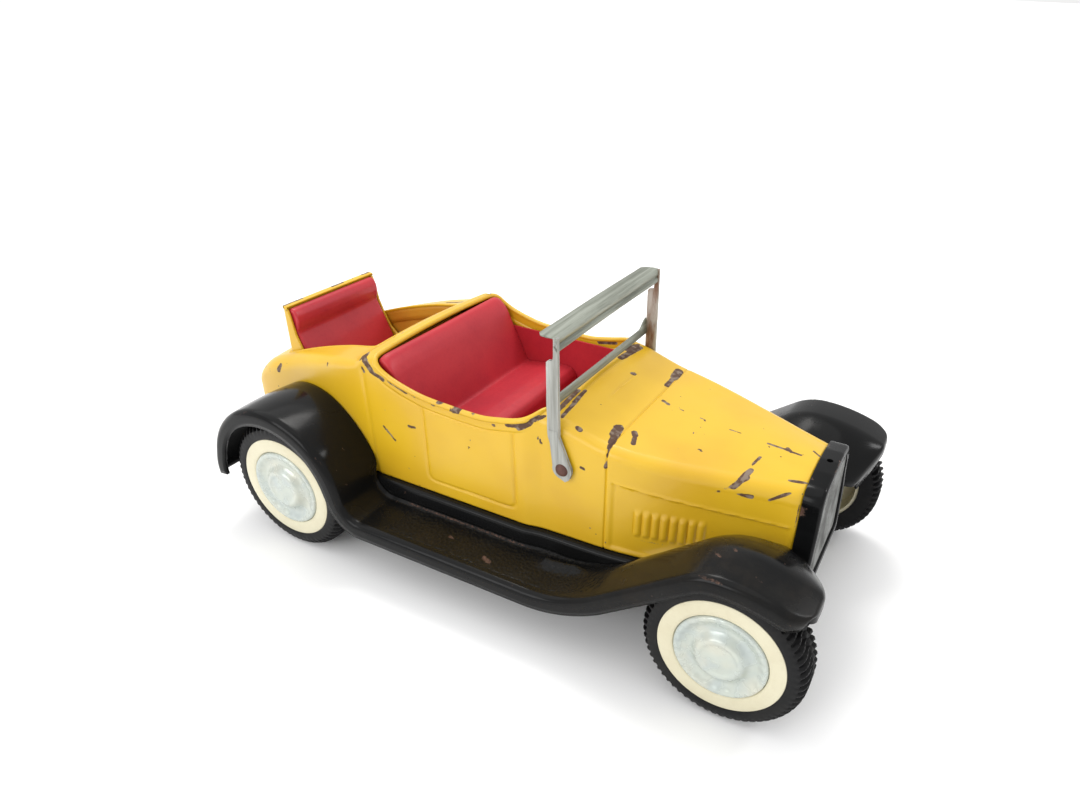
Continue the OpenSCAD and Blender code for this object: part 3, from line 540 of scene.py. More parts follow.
gloss_now = sums(worn_paint, "ADD", given["Gloss"], ramp(worn_paint, smear, 0.4, 0.8, -0.04, 0.12))
rough_now = sums(worn_paint, "MAXIMUM", gloss_now, sums(worn_paint, "MULTIPLY", chips, 0.72))
ripple = sums(worn_paint, "MULTIPLY", mottle(worn_paint, paint_place, 260.0, 1.0), 0.10)
paint_height = sums(worn_paint, "SUBTRACT", ripple, chips)
chip_grain = sums(worn_paint, "MULTIPLY", mottle(worn_paint, paint_place, 1500.0, 2.0), 0.5)
paint_height = sums(worn_paint, "ADD", paint_height, sums(worn_paint, "MULTIPLY", chip_grain, chips))
worn_paint.links.new(worn_colour, finish_out.inputs["Color"])
worn_paint.links.new(rough_now, finish_out.inputs["Roughness"])
worn_paint.links.new(paint_height, finish_out.inputs["Height"])
worn_paint.links.new(chips, finish_out.inputs["Chips"])


def painted(name, paint, shade, bare, scar, specks, gloss, coat, relief=0.00009, shine=0.5):
    """A stoved paint over metal, with its chips where the wear of the piece is high."""
    made, tree, shader = new_material(name)
    worn = put(tree, "ShaderNodeAttribute", attribute_name="wear").outputs["Fac"]
    group = put(tree, "ShaderNodeGroup", node_tree=worn_paint)
    for socket_name, value in (
        ("Paint", (*paint, 1)), ("Shade", (*shade, 1)), ("Bare", (*bare, 1)), ("Scar", (*scar, 1)),
        ("Specks", specks), ("Gloss", gloss),
    ):
        group.inputs[socket_name].default_value = value
    tree.links.new(worn, group.inputs["Wear"])
    tree.links.new(group.outputs["Color"], shader.inputs["Base Color"])
    tree.links.new(group.outputs["Roughness"], shader.inputs["Roughness"])
    coat_left = sums(tree, "MULTIPLY", sums(tree, "SUBTRACT", 1.0, group.outputs["Chips"]), coat)
    tree.links.new(coat_left, shader.inputs["Coat Weight"])
    shader.inputs["Coat Roughness"].default_value = 0.12
    shader.inputs["Specular IOR Level"].default_value = shine
    roughen(tree, shader, group.outputs["Height"], relief)
    return made


YELLOW = (0.70, 0.432, 0.014)
YELLOW_SHADE = (0.61, 0.350, 0.012)
RUST_BROWN = (0.085, 0.040, 0.022)
GREY_PRIMER = (0.21, 0.155, 0.115)
yellow_paint = painted("yellow_stoved_paint", YELLOW, YELLOW_SHADE, RUST_BROWN, GREY_PRIMER, 1.0, 0.38, 0.16)
body_shell.data.materials.append(yellow_paint)


# ---------------------------------------------------------------------------
# Rolled rims. The sheet's edge is curled outward round the cockpit and under
# round the rumble seat opening, so that no raw edge shows. Same paint as the
# body, rubbed through along the top of the cockpit roll.
# ---------------------------------------------------------------------------
def tube(name, path, radius, closed=True, sides=12, marks=None, squash=1.0):
    """A round roll along a path of points in millimetres."""
    path = np.asarray(path, float)
    if closed:
        run = np.roll(path, -1, 0) - np.roll(path, 1, 0)
    else:
        run = np.gradient(path, axis=0)
    run /= np.linalg.norm(run, axis=1, keepdims=True)
    up = np.array([0.0, 0.0, 1.0])
    wide = np.cross(run, up)
    wide /= np.linalg.norm(wide, axis=1, keepdims=True) + 1e-9
    tall = np.cross(wide, run)
    turn = np.linspace(0, 2 * math.pi, sides, endpoint=False)
    rings = path[:, None] + radius * (
        np.cos(turn)[None, :, None] * wide[:, None] + squash * np.sin(turn)[None, :, None] * tall[:, None]
    )
    return skin(name, rings, rows_closed=True, columns_closed=closed, caps=not closed, marks=marks)


def even_path(points, step, closed=True):
    points = np.asarray(points, float)
    if closed:
        points = np.concatenate([points, points[:1]])
    run = np.append(0, np.cumsum(np.linalg.norm(np.diff(points, axis=0), axis=1)))
    count = max(8, int(run[-1] / step))
    where = np.linspace(0, run[-1], count, endpoint=not closed)
    return np.stack([np.interp(where, run, points[:, k]) for k in range(3)], 1)


def soften(points, passes):
    for _ in range(passes):
        points = points * 0.5 + (np.roll(points, 1, 0) + np.roll(points, -1, 0)) * 0.25
    return points


cabin_rows = np.where((body_columns >= COCKPIT[0]) & (body_columns <= COCKPIT[1]))[0]
side_end = len(side_rows) - 1
hoop_ring = body_grid[cabin_rows[0]]
cowl_ring = body_grid[cabin_rows[-1]]
right_edge = body_grid[cabin_rows, side_end]
left_edge = right_edge * np.array([1, -1, 1])
hoop_edge = hoop_ring[side_end:len(hoop_ring) - side_end]
cowl_edge = cowl_ring[side_end:len(cowl_ring) - side_end]
cockpit_path = np.concatenate([right_edge, cowl_edge[1:-1], left_edge[::-1], hoop_edge[::-1][1:-1]])
cockpit_path = soften(even_path(cockpit_path, 0.7), 6) + np.array([0, 0, -0.35])
COCKPIT_ROLL_R = 1.05
cockpit_roll = tube("cockpit_roll", cockpit_path, COCKPIT_ROLL_R, marks=BODY_MARKS, sides=16)
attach(cockpit_roll, "chassis")
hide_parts("body_shell")
cockpit_roll.data.materials.append(yellow_paint)

deck_rows = np.where((body_columns >= DECK[0]) & (body_columns <= DECK[1]))[0]
open_row = len(side_rows) + CROWN_EDGE_ROWS - 1
right_edge = body_grid[deck_rows, open_row]
left_edge = right_edge * np.array([1, -1, 1])
front_edge = body_grid[deck_rows[-1], open_row:body_grid.shape[1] - open_row]
rear_edge = body_grid[deck_rows[0], open_row:body_grid.shape[1] - open_row]
deck_path = np.concatenate([right_edge, front_edge[1:-1], left_edge[::-1], rear_edge[::-1][1:-1]])
deck_path = soften(even_path(deck_path, 0.7), 3) + np.array([0, 0, -0.25])
deck_path[:, 1] *= 1.012
DECK_ROLL_R = 0.5
deck_roll = tube("rumble_opening_roll", deck_path, DECK_ROLL_R, marks=BODY_MARKS)
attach(deck_roll, "chassis")
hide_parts("body_shell")
deck_roll.data.materials.append(yellow_paint)


# ---------------------------------------------------------------------------
# Chassis. A shallow tray pressed from steel and stoved black. Its walls stand
# out past the body and end in a rounded ledge that the body's foot sits on.
# The motor's rivets and the body screws come up through it.
# ---------------------------------------------------------------------------
BLACK = (0.0045, 0.0047, 0.0050)
BLACK_SHADE = (0.0070, 0.0070, 0.0070)
BLACK_BARE = (0.10, 0.055, 0.04)
BLACK_SCAR = (0.16, 0.10, 0.075)
TRAY_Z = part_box("chassis_frame")[0].z / MM
TRAY_OUT = 3.0
black_enamel = painted(
    "black_enamel", BLACK, BLACK_SHADE, BLACK_BARE, BLACK_SCAR, 0.35, 0.2, 0.03, 0.00006, 0.12
)

tray_x = np.concatenate([np.linspace(TAIL_X, -44, 9), np.linspace(-43, HOOD_X, 150)])
tray_profile = [
    (-4.0, 29.6), (-1.0, 30.0), (1.2, 30.35), (2.2, 30.1), (2.75, 29.5), (3.0, 28.6), (3.0, 24.5),
    (3.0, 17.4), (2.8, 16.5), (2.3, 15.85), (1.6, TRAY_Z), (-6.0, TRAY_Z), (-14.0, TRAY_Z),
]
tray_rings = []
for offset, z in tray_profile:
    shorter = TRAY_OUT - offset
    along_x = np.clip(tray_x, TAIL_X + shorter, HOOD_X - shorter)
    half = np.maximum(foot_at(tray_x) + offset, 0.4)
    near_side = np.stack([along_x, -half, np.full(len(half), z)], 1)
    ring = np.concatenate([near_side, near_side[::-1] * np.array([1, -1, 1])])
    tray_rings.append(ring)
flat_end = tray_rings[-1] * np.array([1, 0.02, 1])
tray_rings.append(flat_end)
chassis_tray = thicken(skin("chassis_tray", np.array(tray_rings), rows_closed=True), 1.0)
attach(chassis_tray, "chassis")
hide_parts("chassis_frame")
chassis_tray.data.materials.append(black_enamel)


# ---------------------------------------------------------------------------
# Fenders and running boards. One long black pressing a side: an arch over the
# rear wheel, a pebbled running board, and a sweep up over the front wheel to
# a blunt tip. The outer edge is turned down. Dust and rust have settled on the
# board and the front crown, where hands pick the toy up.
# ---------------------------------------------------------------------------
FENDER_OUT = 62.3
FENDER_EDGE_R = 2.6
FENDER_DROP = 6.0
FENDER_SHEET = 1.2
BOARD_Z = 23.5
ARCH = (-4.0, 26.5, 33.5)
FOOT_R = 8.0
SWEEP_R = 45.0
SWEEP_TURN = math.radians(36)
CROWN = (178.0, 35.7, 22.0)
TIP_X = 204.0
TIP_R = 60.0
TIP_LIP_R = 2.2
TIP_OUTER_R = 7.5
TIP_INNER_R = 9.0


def arc(centre_x, centre_z, radius, start, end, count, turned=0.0):
    """Points of an arc with the direction each faces, angles in radians."""
    a = np.linspace(start, end, count)
    return np.stack([centre_x + radius * np.cos(a), centre_z + radius * np.sin(a), a + turned], 1)


foot_lift = BOARD_Z + FOOT_R - ARCH[1]
foot_angle = math.asin(foot_lift / (ARCH[2] + FOOT_R))
foot_x = ARCH[0] + math.sqrt((ARCH[2] + FOOT_R) ** 2 - foot_lift ** 2)
crown_in_x = CROWN[0] - CROWN[2] * math.sin(SWEEP_TURN)
crown_in_z = CROWN[1] + CROWN[2] * math.cos(SWEEP_TURN)
sweep_start = crown_in_x - (crown_in_z - BOARD_Z) / math.tan(SWEEP_TURN) - SWEEP_R * math.tan(SWEEP_TURN / 2)
half_turn = math.pi
tip_angle = math.pi / 2 - math.asin((TIP_X - CROWN[0]) / TIP_R)
fender_line = np.concatenate([
    arc(ARCH[0], ARCH[1], ARCH[2], math.radians(186), foot_angle, 64),
    arc(foot_x, BOARD_Z + FOOT_R, FOOT_R, half_turn + foot_angle + 0.15, 1.5 * math.pi, 12, half_turn),
    np.stack([
        np.linspace(foot_x + 1.5, sweep_start - 1.5, 40), np.full(40, BOARD_Z), np.full(40, math.pi / 2),
    ], 1),
    arc(sweep_start, BOARD_Z + SWEEP_R, SWEEP_R, 1.5 * math.pi, 1.5 * math.pi + SWEEP_TURN, 22, half_turn),
    arc(CROWN[0], CROWN[1], CROWN[2], math.pi / 2 + SWEEP_TURN, math.pi / 2, 16),
    arc(CROWN[0], CROWN[1] + CROWN[2] - TIP_R, TIP_R, math.pi / 2 - 0.05, tip_angle, 34),
])
tip_x, tip_z, tip_facing = fender_line[-1]
lip_centre = (tip_x - TIP_LIP_R * math.cos(tip_facing), tip_z - TIP_LIP_R * math.sin(tip_facing))
lip_line = arc(lip_centre[0], lip_centre[1], TIP_LIP_R, tip_facing, 0.0, 9)[1:]
lip_front = lip_line[-1][0]
fender_line = np.concatenate([fender_line, lip_line, [[lip_front, lip_line[-1][1] - 2.2, 0.0]]])
inner_fall = smooth_line([(sweep_start, 0), (140, 4), (HOOD_X, 12), (TIP_X, 12)])
hood_gap = smooth_line([(SEAM_X, 0.35), (HOOD_X, 1.6)])


def round_off(x, radius):
    """How much a rounded corner of the tip takes off the fender's width at x."""
    into = np.clip((x - (lip_front - radius)) / radius, 0, 1)
    return float(radius * (1 - math.sqrt(max(0.0, 1 - into * into * 0.97))))


def fender_grid(side):
    rings = []
    for x, z, facing in fender_line:
        fall = float(inner_fall(x))
        low_z = z - fall
        on_side = low_z > SILL_Z + 4
        up = np.clip((low_z - SILL_Z) / (float(top_at(x)) - 6 - SILL_Z), 0, 1)
        wall = float(foot_at(x)) + (float(belt_at(x)) - float(foot_at(x))) * up
        over_tray = float(foot_at(x)) + 3.1
        beside_hood = wall + float(hood_gap(x))
        inner = over_tray + (beside_hood - over_tray) * float(step_up(low_z, SILL_Z, SILL_Z + 7))
        outer_cut = round_off(x, TIP_OUTER_R)
        outer = FENDER_OUT - outer_cut
        inner = inner + round_off(x, TIP_INNER_R)
        y = np.concatenate([
            np.linspace(inner, 47, 12), np.linspace(47, outer - FENDER_EDGE_R, 14)[1:],
            outer - FENDER_EDGE_R + FENDER_EDGE_R * np.sin(np.linspace(0, math.pi / 2, 9)[1:]),
            [outer, outer],
        ])
        share = np.clip((47 - y) / max(47 - inner, 1), 0, 1)
        sink = 0.85 * fall * share ** 1.5
        drop = np.zeros(len(y))
        corner = np.clip((y - (outer - FENDER_EDGE_R)) / FENDER_EDGE_R, 0, 1)
        drop = drop - FENDER_EDGE_R * (1 - np.sqrt(np.maximum(0, 1 - corner ** 2)))
        shorter = 1 - 0.45 * outer_cut / TIP_OUTER_R
        drop[-2] = -4.4 * shorter
        drop[-1] = -FENDER_DROP * shorter
        # a shallow crown across the arches, and a raised hand-hold lump on the board
        crown = 0.7 * np.clip(np.sin(np.pi * (y - inner) / (FENDER_OUT - inner)), 0, 1)
        arched = float(step_up(z, BOARD_Z + 2, BOARD_Z + 12))
        drop = drop + crown * arched - 0.7 * arched
        lump = 2.4 * step_up(x, 107, 109) * (1 - step_up(x, 121, 127)) * line(y - 46, 2.1)
        drop = drop + lump * (1 - arched)
        toe = 0.9 * line(y - inner, 1.0) * (1 - arched) * (not on_side)
        drop = drop + toe
        rings.append(np.stack([x + math.cos(facing) * drop, side * y, z + math.sin(facing) * drop - sink], 1))
        rings[-1][:, 0] -= 0.5 * sink * float(step_up(x, 180, TIP_X))
    return np.array(rings)


FENDER_MARKS = [
    ((150, -58, 49), (165, -60, 56), 1.0, 0.40), ((166, -61, 56), (180, -61.4, 56), 0.8, 0.52),
    ((171, -50, 57.3), (174, -52, 57.5), 1.0, 0.55), ((176, -46, 57.7), (177.5, -48, 57.7), 0.9, 0.5),
    ((182, -61.2, 55), (199, -61.4, 50), 0.9, 0.52), ((198, -52, 50.4), (203, -57, 47), 0.8, 0.42),
    ((188, -39.5, 54), (203, -41.5, 48), 0.6, 0.48), ((150, -61.9, 44), (158, -62, 48), 0.5, 0.5),
    ((20, -61, 48), (30, -61.5, 38), 0.7, 0.4), ((186, -55, 56.4), (190, -56.5, 55.6), 0.8, 0.48),
    ((46, -60.5, 22.5), (120, -60.5, 22.5), 1.2, 0.38), ((44, -42.5, 24), (110, -42.5, 24), 0.6, 0.5),
    ((70, -50, 23.6), (72, -51, 23.6), 0.8, 0.62), ((88, -54, 23.6), (92, -55.5, 23.6), 1.2, 0.62),
    ((150, 52, 47), (165, 56, 55), 2.0, 0.42), ((180, 60.5, 55), (200, 61, 50), 1.4, 0.5),
    ((46, 60.5, 22.5), (120, 60.5, 22.5), 1.2, 0.38), ((-28, -61.5, 48), (-12, -61.5, 58), 0.8, 0.42),
]


fender_enamel, fender_tree, fender_shader = new_material("fender_enamel")
fender_worn = put(fender_tree, "ShaderNodeAttribute", attribute_name="wear").outputs["Fac"]
fender_finish = put(fender_tree, "ShaderNodeGroup", node_tree=worn_paint)
for finish_name, finish_value in (
    ("Paint", (*BLACK, 1)), ("Shade", (*BLACK_SHADE, 1)), ("Bare", (0.050, 0.030, 0.022, 1)),
    ("Scar", (0.115, 0.068, 0.052, 1)), ("Specks", 0.4), ("Gloss", 0.2),
):
    fender_finish.inputs[finish_name].default_value = finish_value
fender_tree.links.new(fender_worn, fender_finish.inputs["Wear"])
fender_place = put(fender_tree, "ShaderNodeTexCoord").outputs["Object"]
fender_xyz = put(fender_tree, "ShaderNodeSeparateXYZ", {0: fender_place}).outputs
board_low, board_high = at(44, 0, 0).x, at(140, 0, 0).x
on_board = sums(
    fender_tree, "MULTIPLY", ramp(fender_tree, fender_xyz["X"], board_low, board_low + 0.006),
    ramp(fender_tree, fender_xyz["X"], board_high - 0.02, board_high, 1.0, 0.0),
)
on_board = sums(fender_tree, "MULTIPLY", on_board, ramp(fender_tree, fender_xyz["Z"], 0.0232, 0.0236))
side_reach = sums(fender_tree, "ABSOLUTE", fender_xyz["Y"])
on_board = sums(fender_tree, "MULTIPLY", on_board, ramp(fender_tree, side_reach, 0.0575, 0.0590, 1.0, 0.0))
pebble = put(
    fender_tree, "ShaderNodeTexVoronoi", {"Vector": fender_place, "Scale": 820.0, "Randomness": 1.0},
    feature="SMOOTH_F1",
).outputs["Distance"]
dusty = mottle(fender_tree, fender_place, 70.0, 5.0, 0.65)
front_dust = sums(
    fender_tree, "MULTIPLY", ramp(fender_tree, fender_xyz["X"], 0.035, 0.075),
    ramp(fender_tree, fender_xyz["Y"], 0.0, -0.03),
)
dust_share = sums(fender_tree, "MAXIMUM", sums(fender_tree, "MULTIPLY", on_board, 0.75), front_dust)
dust_share = sums(fender_tree, "MULTIPLY", dust_share, ramp(fender_tree, dusty, 0.38, 0.78))
dust_share = sums(fender_tree, "MULTIPLY", dust_share, 0.11)
dust_hue = ramp(fender_tree, mottle(fender_tree, fender_place, 33.0, 2.0), 0.4, 0.62)
dust_colour = blend(fender_tree, dust_hue, (0.085, 0.050, 0.020, 1), (0.070, 0.068, 0.062, 1))
fender_colour = blend(fender_tree, dust_share, fender_finish.outputs["Color"], dust_colour)
fender_tree.links.new(fender_colour, fender_shader.inputs["Base Color"])
dull_now = sums(fender_tree, "MULTIPLY", dust_share, 0.75)
board_rough = sums(fender_tree, "MULTIPLY", on_board, 0.38)
fender_rough = sums(fender_tree, "MAXIMUM", fender_finish.outputs["Roughness"], board_rough)
fender_rough = sums(fender_tree, "ADD", fender_rough, dull_now)
fender_tree.links.new(fender_rough, fender_shader.inputs["Roughness"])
fender_shader.inputs["Coat Roughness"].default_value = 0.1
fender_shader.inputs["Specular IOR Level"].default_value = 0.12
fender_coat = sums(fender_tree, "MULTIPLY", sums(fender_tree, "SUBTRACT", 1.0, dust_share), 0.03)
fender_tree.links.new(fender_coat, fender_shader.inputs["Coat Weight"])
pebble_height = sums(fender_tree, "MULTIPLY", sums(fender_tree, "MULTIPLY", pebble, on_board), 5.0)
fender_height = sums(fender_tree, "ADD", fender_finish.outputs["Height"], pebble_height)
roughen(fender_tree, fender_shader, fender_height, 0.00006)

for side_name, side in (("left", 1), ("right", -1)):
    fender = skin(f"fender_pressing_{side_name}", fender_grid(side), marks=FENDER_MARKS)
    thicken(fender, FENDER_SHEET)
    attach(fender, "chassis")
    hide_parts(f"fender_{side_name}")
    fender.data.materials.append(fender_enamel)


# ---------------------------------------------------------------------------
# Radiator. A black steel surround with an arched top, drilled for a filler
# cap that is lost, and a dull grey ribbed grille plate set into its front.
# ---------------------------------------------------------------------------
SHELL_X = (189.1, 196.0)
SHELL_TOP = 67.3


def radiator_half(inset, count=10):
    """Half outline of the radiator, foot to top, at one inset."""
    foot = 24.4 - inset
    shoulder = 19.8 - inset
    top = SHELL_TOP - inset
    bottom = 24.0 + inset
    turn = np.linspace(0, math.radians(82), count)
    points = [(foot - 2.4, bottom), (foot - 0.8, bottom + 0.5), (foot, bottom + 2.2)]
    points += [(foot - 0.1, 34), (foot - 0.5, 40), (foot - 1.6, 46)]
    points += [(shoulder + 0.9, 52), (shoulder, 57.5 - inset)]
    points += [(shoulder - 6 + 6 * math.cos(a), top - 7.4 + 6 * math.sin(a)) for a in turn[1:]]
    points += [(shoulder * 0.38, top - 0.35), (0.001, top)]
    return np.array(points)


def radiator_ring(x, inset):
    half = radiator_half(inset)
    run = np.append(0, np.cumsum(np.hypot(*np.diff(half, axis=0).T)))
    where = np.linspace(0, run[-1], 90)
    y, z = np.interp(where, run, half[:, 0]), np.interp(where, run, half[:, 1])
    y, z = np.concatenate([y, -y[:-1][::-1]]), np.concatenate([z, z[:-1][::-1]])
    return np.stack([np.full(len(y), x), y, z], 1)


shell_steps = [
    (SHELL_X[0], 0.3), (SHELL_X[0] + 0.15, 0.08), (SHELL_X[0] + 0.6, 0.0), (SHELL_X[1] - 1.3, 0.0),
    (SHELL_X[1] - 0.7, 0.12), (SHELL_X[1] - 0.3, 0.4), (SHELL_X[1], 1.0), (SHELL_X[1], 1.9),
    (SHELL_X[1] - 0.2, 2.35), (SHELL_X[1] - 0.6, 2.5), (SHELL_X[1] - 1.7, 2.5),
    (SHELL_X[0] + 1.2, 2.5), (SHELL_X[0] + 1.0, 3.0),
]
radiator_grid = np.array([radiator_ring(x, inset) for x, inset in shell_steps])
RADIATOR_MARKS = [
    ((189.6, -12, 66), (189.6, 12, 66.4), 0.6, 0.45), ((195.6, 2, 67), (196, -10, 66.5), 0.5, 0.5),
    ((189.4, -19.5, 55), (189.4, -19.8, 60), 0.6, 0.55), ((196, -19, 40), (196, -19, 56), 0.4, 0.45),
]
radiator = skin("radiator_surround", radiator_grid, rows_closed=True, marks=RADIATOR_MARKS)
CAP_HOLE_R = 1.1
CAP_HOLE_SIDES = 24
cap_hole = bpy.data.meshes.new("cap_hole_cutter")
cap_x = (SHELL_X[0] + SHELL_X[1]) / 2
drill_turn = np.linspace(0, 2 * math.pi, CAP_HOLE_SIDES, endpoint=False)
drill = [(cap_x + CAP_HOLE_R * math.cos(a), CAP_HOLE_R * math.sin(a)) for a in drill_turn]
drill_foot = list(reversed(range(CAP_HOLE_SIDES)))
drill_head = list(range(CAP_HOLE_SIDES, 2 * CAP_HOLE_SIDES))
drill_wall = [
    [k, (k + 1) % CAP_HOLE_SIDES, CAP_HOLE_SIDES + (k + 1) % CAP_HOLE_SIDES, CAP_HOLE_SIDES + k]
    for k in range(CAP_HOLE_SIDES)
]
cap_hole.from_pydata(
    [tuple(at(x, y, 60)) for x, y in drill] + [tuple(at(x, y, 70)) for x, y in drill], [],
    [drill_foot, drill_head] + drill_wall,
)
cutter = bpy.data.objects.new("cap_hole_cutter", cap_hole)
bpy.context.scene.collection.objects.link(cutter)
drilled = radiator.modifiers.new("cap_hole", "BOOLEAN")
drilled.object = cutter
drilled.operation = "DIFFERENCE"
drilled.solver = "EXACT"
bpy.context.view_layer.update()
drilled_mesh = bpy.data.meshes.new_from_object(radiator.evaluated_get(bpy.context.evaluated_depsgraph_get()))
radiator.modifiers.clear()
radiator.data = drilled_mesh
bpy.data.objects.remove(cutter)
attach(radiator, "chassis")
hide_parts("radiator_shell")
radiator.data.materials.clear()
radiator.data.materials.append(black_enamel)


def bare_metal(name, light, dark, metal, rough, streak, bump=0.00003):
    """Plated or bare steel with a rubbed, streaky surface. streak stretches the marks."""
    made, tree, shader = new_material(name)
    place = put(tree, "ShaderNodeTexCoord").outputs["Object"]
    stretched = put(tree, "ShaderNodeMapping", {"Vector": place, "Scale": streak}).outputs["Vector"]
    cloud = mottle(tree, stretched, 120.0, 5.0, 0.62)
    fine = mottle(tree, stretched, 900.0, 3.0)
    share = ramp(tree, cloud, 0.34, 0.68)
    tree.links.new(blend(tree, share, (*light, 1), (*dark, 1)), shader.inputs["Base Color"])
    shader.inputs["Metallic"].default_value = metal
    grain = sums(tree, "ADD", sums(tree, "MULTIPLY", share, 0.22), sums(tree, "MULTIPLY", fine, 0.16))
    tree.links.new(sums(tree, "ADD", grain, rough), shader.inputs["Roughness"])
    roughen(tree, shader, sums(tree, "ADD", cloud, sums(tree, "MULTIPLY", fine, 0.5)), bump)
    return made


grille_plate = bare_metal("grille_plate", (0.27, 0.275, 0.265), (0.13, 0.13, 0.125), 0.35, 0.42, (1, 1, 0.6))
GRILLE_FOOT_Z = 26.6
GRILLE_HALF = 21.6
RIB_PITCH = 2.7
grille_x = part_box("radiator_grille")[0].x / MM - rear_axle_x / MM
half_inside = radiator_half(2.55)
half_across = np.linspace(-GRILLE_HALF, GRILLE_HALF, 260)
wall_y, wall_z = half_inside[:, 0], half_inside[:, 1]
top_z = np.array([np.interp(abs(y), wall_y[3:][::-1], wall_z[3:][::-1]) for y in half_across])
rows_up = np.linspace(0, 1, 60)
rib_wave = 0.55 * np.maximum(0, np.cos(2 * math.pi * half_across / RIB_PITCH)) ** 1.5
grille_grid = []
for share in rows_up:
    z = GRILLE_FOOT_Z + (top_z - GRILLE_FOOT_Z) * share
    fade = step_up(z, 30, 32) * (1 - step_up(z, 60, 62)) * (np.abs(half_across) < 17.5)
    grille_grid.append(np.stack([grille_x + 0.5 + rib_wave * fade, half_across, z], 1))
grille = thicken(skin("grille_plate", np.array(grille_grid)), 0.4)
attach(grille, "chassis")
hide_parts("radiator_grille")
grille.data.materials.append(grille_plate)


# ---------------------------------------------------------------------------
# Cabin. A red moulded liner with a bench seat: the seat back rolls over at
# the top just inside the hoop and runs down to a cushion with a rounded front.
# The liner's walls stop a little below the body's rim.
# ---------------------------------------------------------------------------
def moulded(name, colour, deep, rough, grain=900.0, bump=0.00004, coat=0.0):
    made, tree, shader = new_material(name)
    place = put(tree, "ShaderNodeTexCoord").outputs["Object"]
    cloud = mottle(tree, place, 30.0, 4.0, 0.6)
    fine = mottle(tree, place, grain, 3.0, 0.6)
    broad, grainy = ramp(tree, cloud, 0.35, 0.7, 0.0, 0.75), ramp(tree, fine, 0.45, 0.75, 0.0, 0.25)
    share = sums(tree, "ADD", broad, grainy)
    tree.links.new(blend(tree, share, (*colour, 1), (*deep, 1)), shader.inputs["Base Color"])
    tree.links.new(ramp(tree, cloud, 0.3, 0.75, rough - 0.06, rough + 0.1), shader.inputs["Roughness"])
    shader.inputs["Coat Weight"].default_value = coat
    shader.inputs["Specular IOR Level"].default_value = 0.32
    roughen(tree, shader, fine, bump)
    return made


interior_red = moulded("interior_red", (0.50, 0.028, 0.040), (0.37, 0.015, 0.030), 0.42)
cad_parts["interior_tub"].data.materials.clear()
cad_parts["interior_tub"].data.materials.append(interior_red)

SEAT_HALF = 36.5


def cushion_strip(name, profile, half, round_ends, step=0.6, tall=None):
    """A closed side outline swept across the car, with rounded ends."""
    profile = even_path([(x, 0, z) for x, z in profile], step)[:, [0, 2]]
    profile = soften(profile, 1)
    middle = profile.mean(0)
    ends = np.linspace(0, math.pi / 2, 7)
    across = list(-half + round_ends * (1 - np.sin(ends)))[::-1]
    order = np.argsort(across)
    across = np.array(across)[order]
    inset = (round_ends * (1 - np.cos(ends)))[::-1]
    span = np.linspace(-half + round_ends, half - round_ends, 40)[1:-1]
    ys = np.concatenate([across, span, -across[::-1]])
    insets = np.concatenate([inset, np.zeros(len(span)), inset[::-1]])
    run = np.roll(profile, -1, 0) - np.roll(profile, 1, 0)
    inward = np.stack([-run[:, 1], run[:, 0]], 1)
    inward /= np.linalg.norm(inward, axis=1, keepdims=True)
    if ((profile - middle) * inward).sum() > 0:
        inward = -inward
    rings = []
    for y, inset_now in zip(ys, insets):
        at_y = profile + inward * inset_now
        if tall is not None:
            # the top corners are rounded to follow the hoop
            out_of_line = max(0.0, abs(y) - (half - 4.0)) / 4.0
            share = 1 - 0.4 * (1 - math.sqrt(max(0.0, 1 - out_of_line ** 2)))
            above = np.maximum(at_y[:, 1] - tall, 0)
            at_y = np.stack([at_y[:, 0], at_y[:, 1] - above * (1 - share)], 1)
        rings.append(np.stack([at_y[:, 0], np.full(len(at_y), y), at_y[:, 1]], 1))
    return skin(name, np.array(rings), rows_closed=True, caps=True)


seat_profile = [
    (32.6, 46.2), (32.6, 76.5), (32.6, 80.4), (32.9, 81.2), (33.6, 81.6), (34.6, 81.5), (35.8, 80.9),
    (37.0, 79.6), (38.2, 77.8), (39.6, 75.2), (41.6, 70.6), (44.0, 65.2), (46.4, 59.8), (48.4, 55.2),
    (49.0, 54.0), (49.6, 53.9), (50.6, 54.1), (56.5, 54.9),
    (63.0, 56.1), (69.0, 56.5), (72.2, 55.6), (73.8, 53.4), (74.2, 50.4), (74.2, 46.2),
]
seat = cushion_strip("cabin_seat", seat_profile, SEAT_HALF, 0.9, tall=76.5)
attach(seat, "chassis")
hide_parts("front_seat")
seat.data.materials.append(interior_red)


# ---------------------------------------------------------------------------
# Rumble seat. A steel lid, painted like the body, hinges on two pins low in
# the compartment: upright it is the seat's back, forward it closes the deck.
# Its sides are turned in as ears, and a red padded back is glued to it.
# ---------------------------------------------------------------------------
# The inside of the rumble well and its folded edge take a darker, browner copy of the body's yellow: painted
# shade for the shadowed well.
well_painted_shade = painted(
    "well_yellow_painted_shade", (0.60, 0.30, 0.022), (0.50, 0.225, 0.020), RUST_BROWN, GREY_PRIMER, 0.6, 0.45, 0.15
)
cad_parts["rumble_tub"].data.materials.clear()
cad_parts["rumble_tub"].data.materials.append(well_painted_shade)

# the deck's edge is folded down into the well all round the opening, in the well's darker yellow of painted
# shade
flange_rings = np.array([deck_path - np.array([0, 0, depth]) for depth in (0.0, 2.0, 4.0, 6.5)])
opening_flange = thicken(skin("rumble_opening_flange", flange_rings, rows_closed=True), 0.3)
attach(opening_flange, "chassis")
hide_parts("body_shell")
opening_flange.data.materials.append(well_painted_shade)

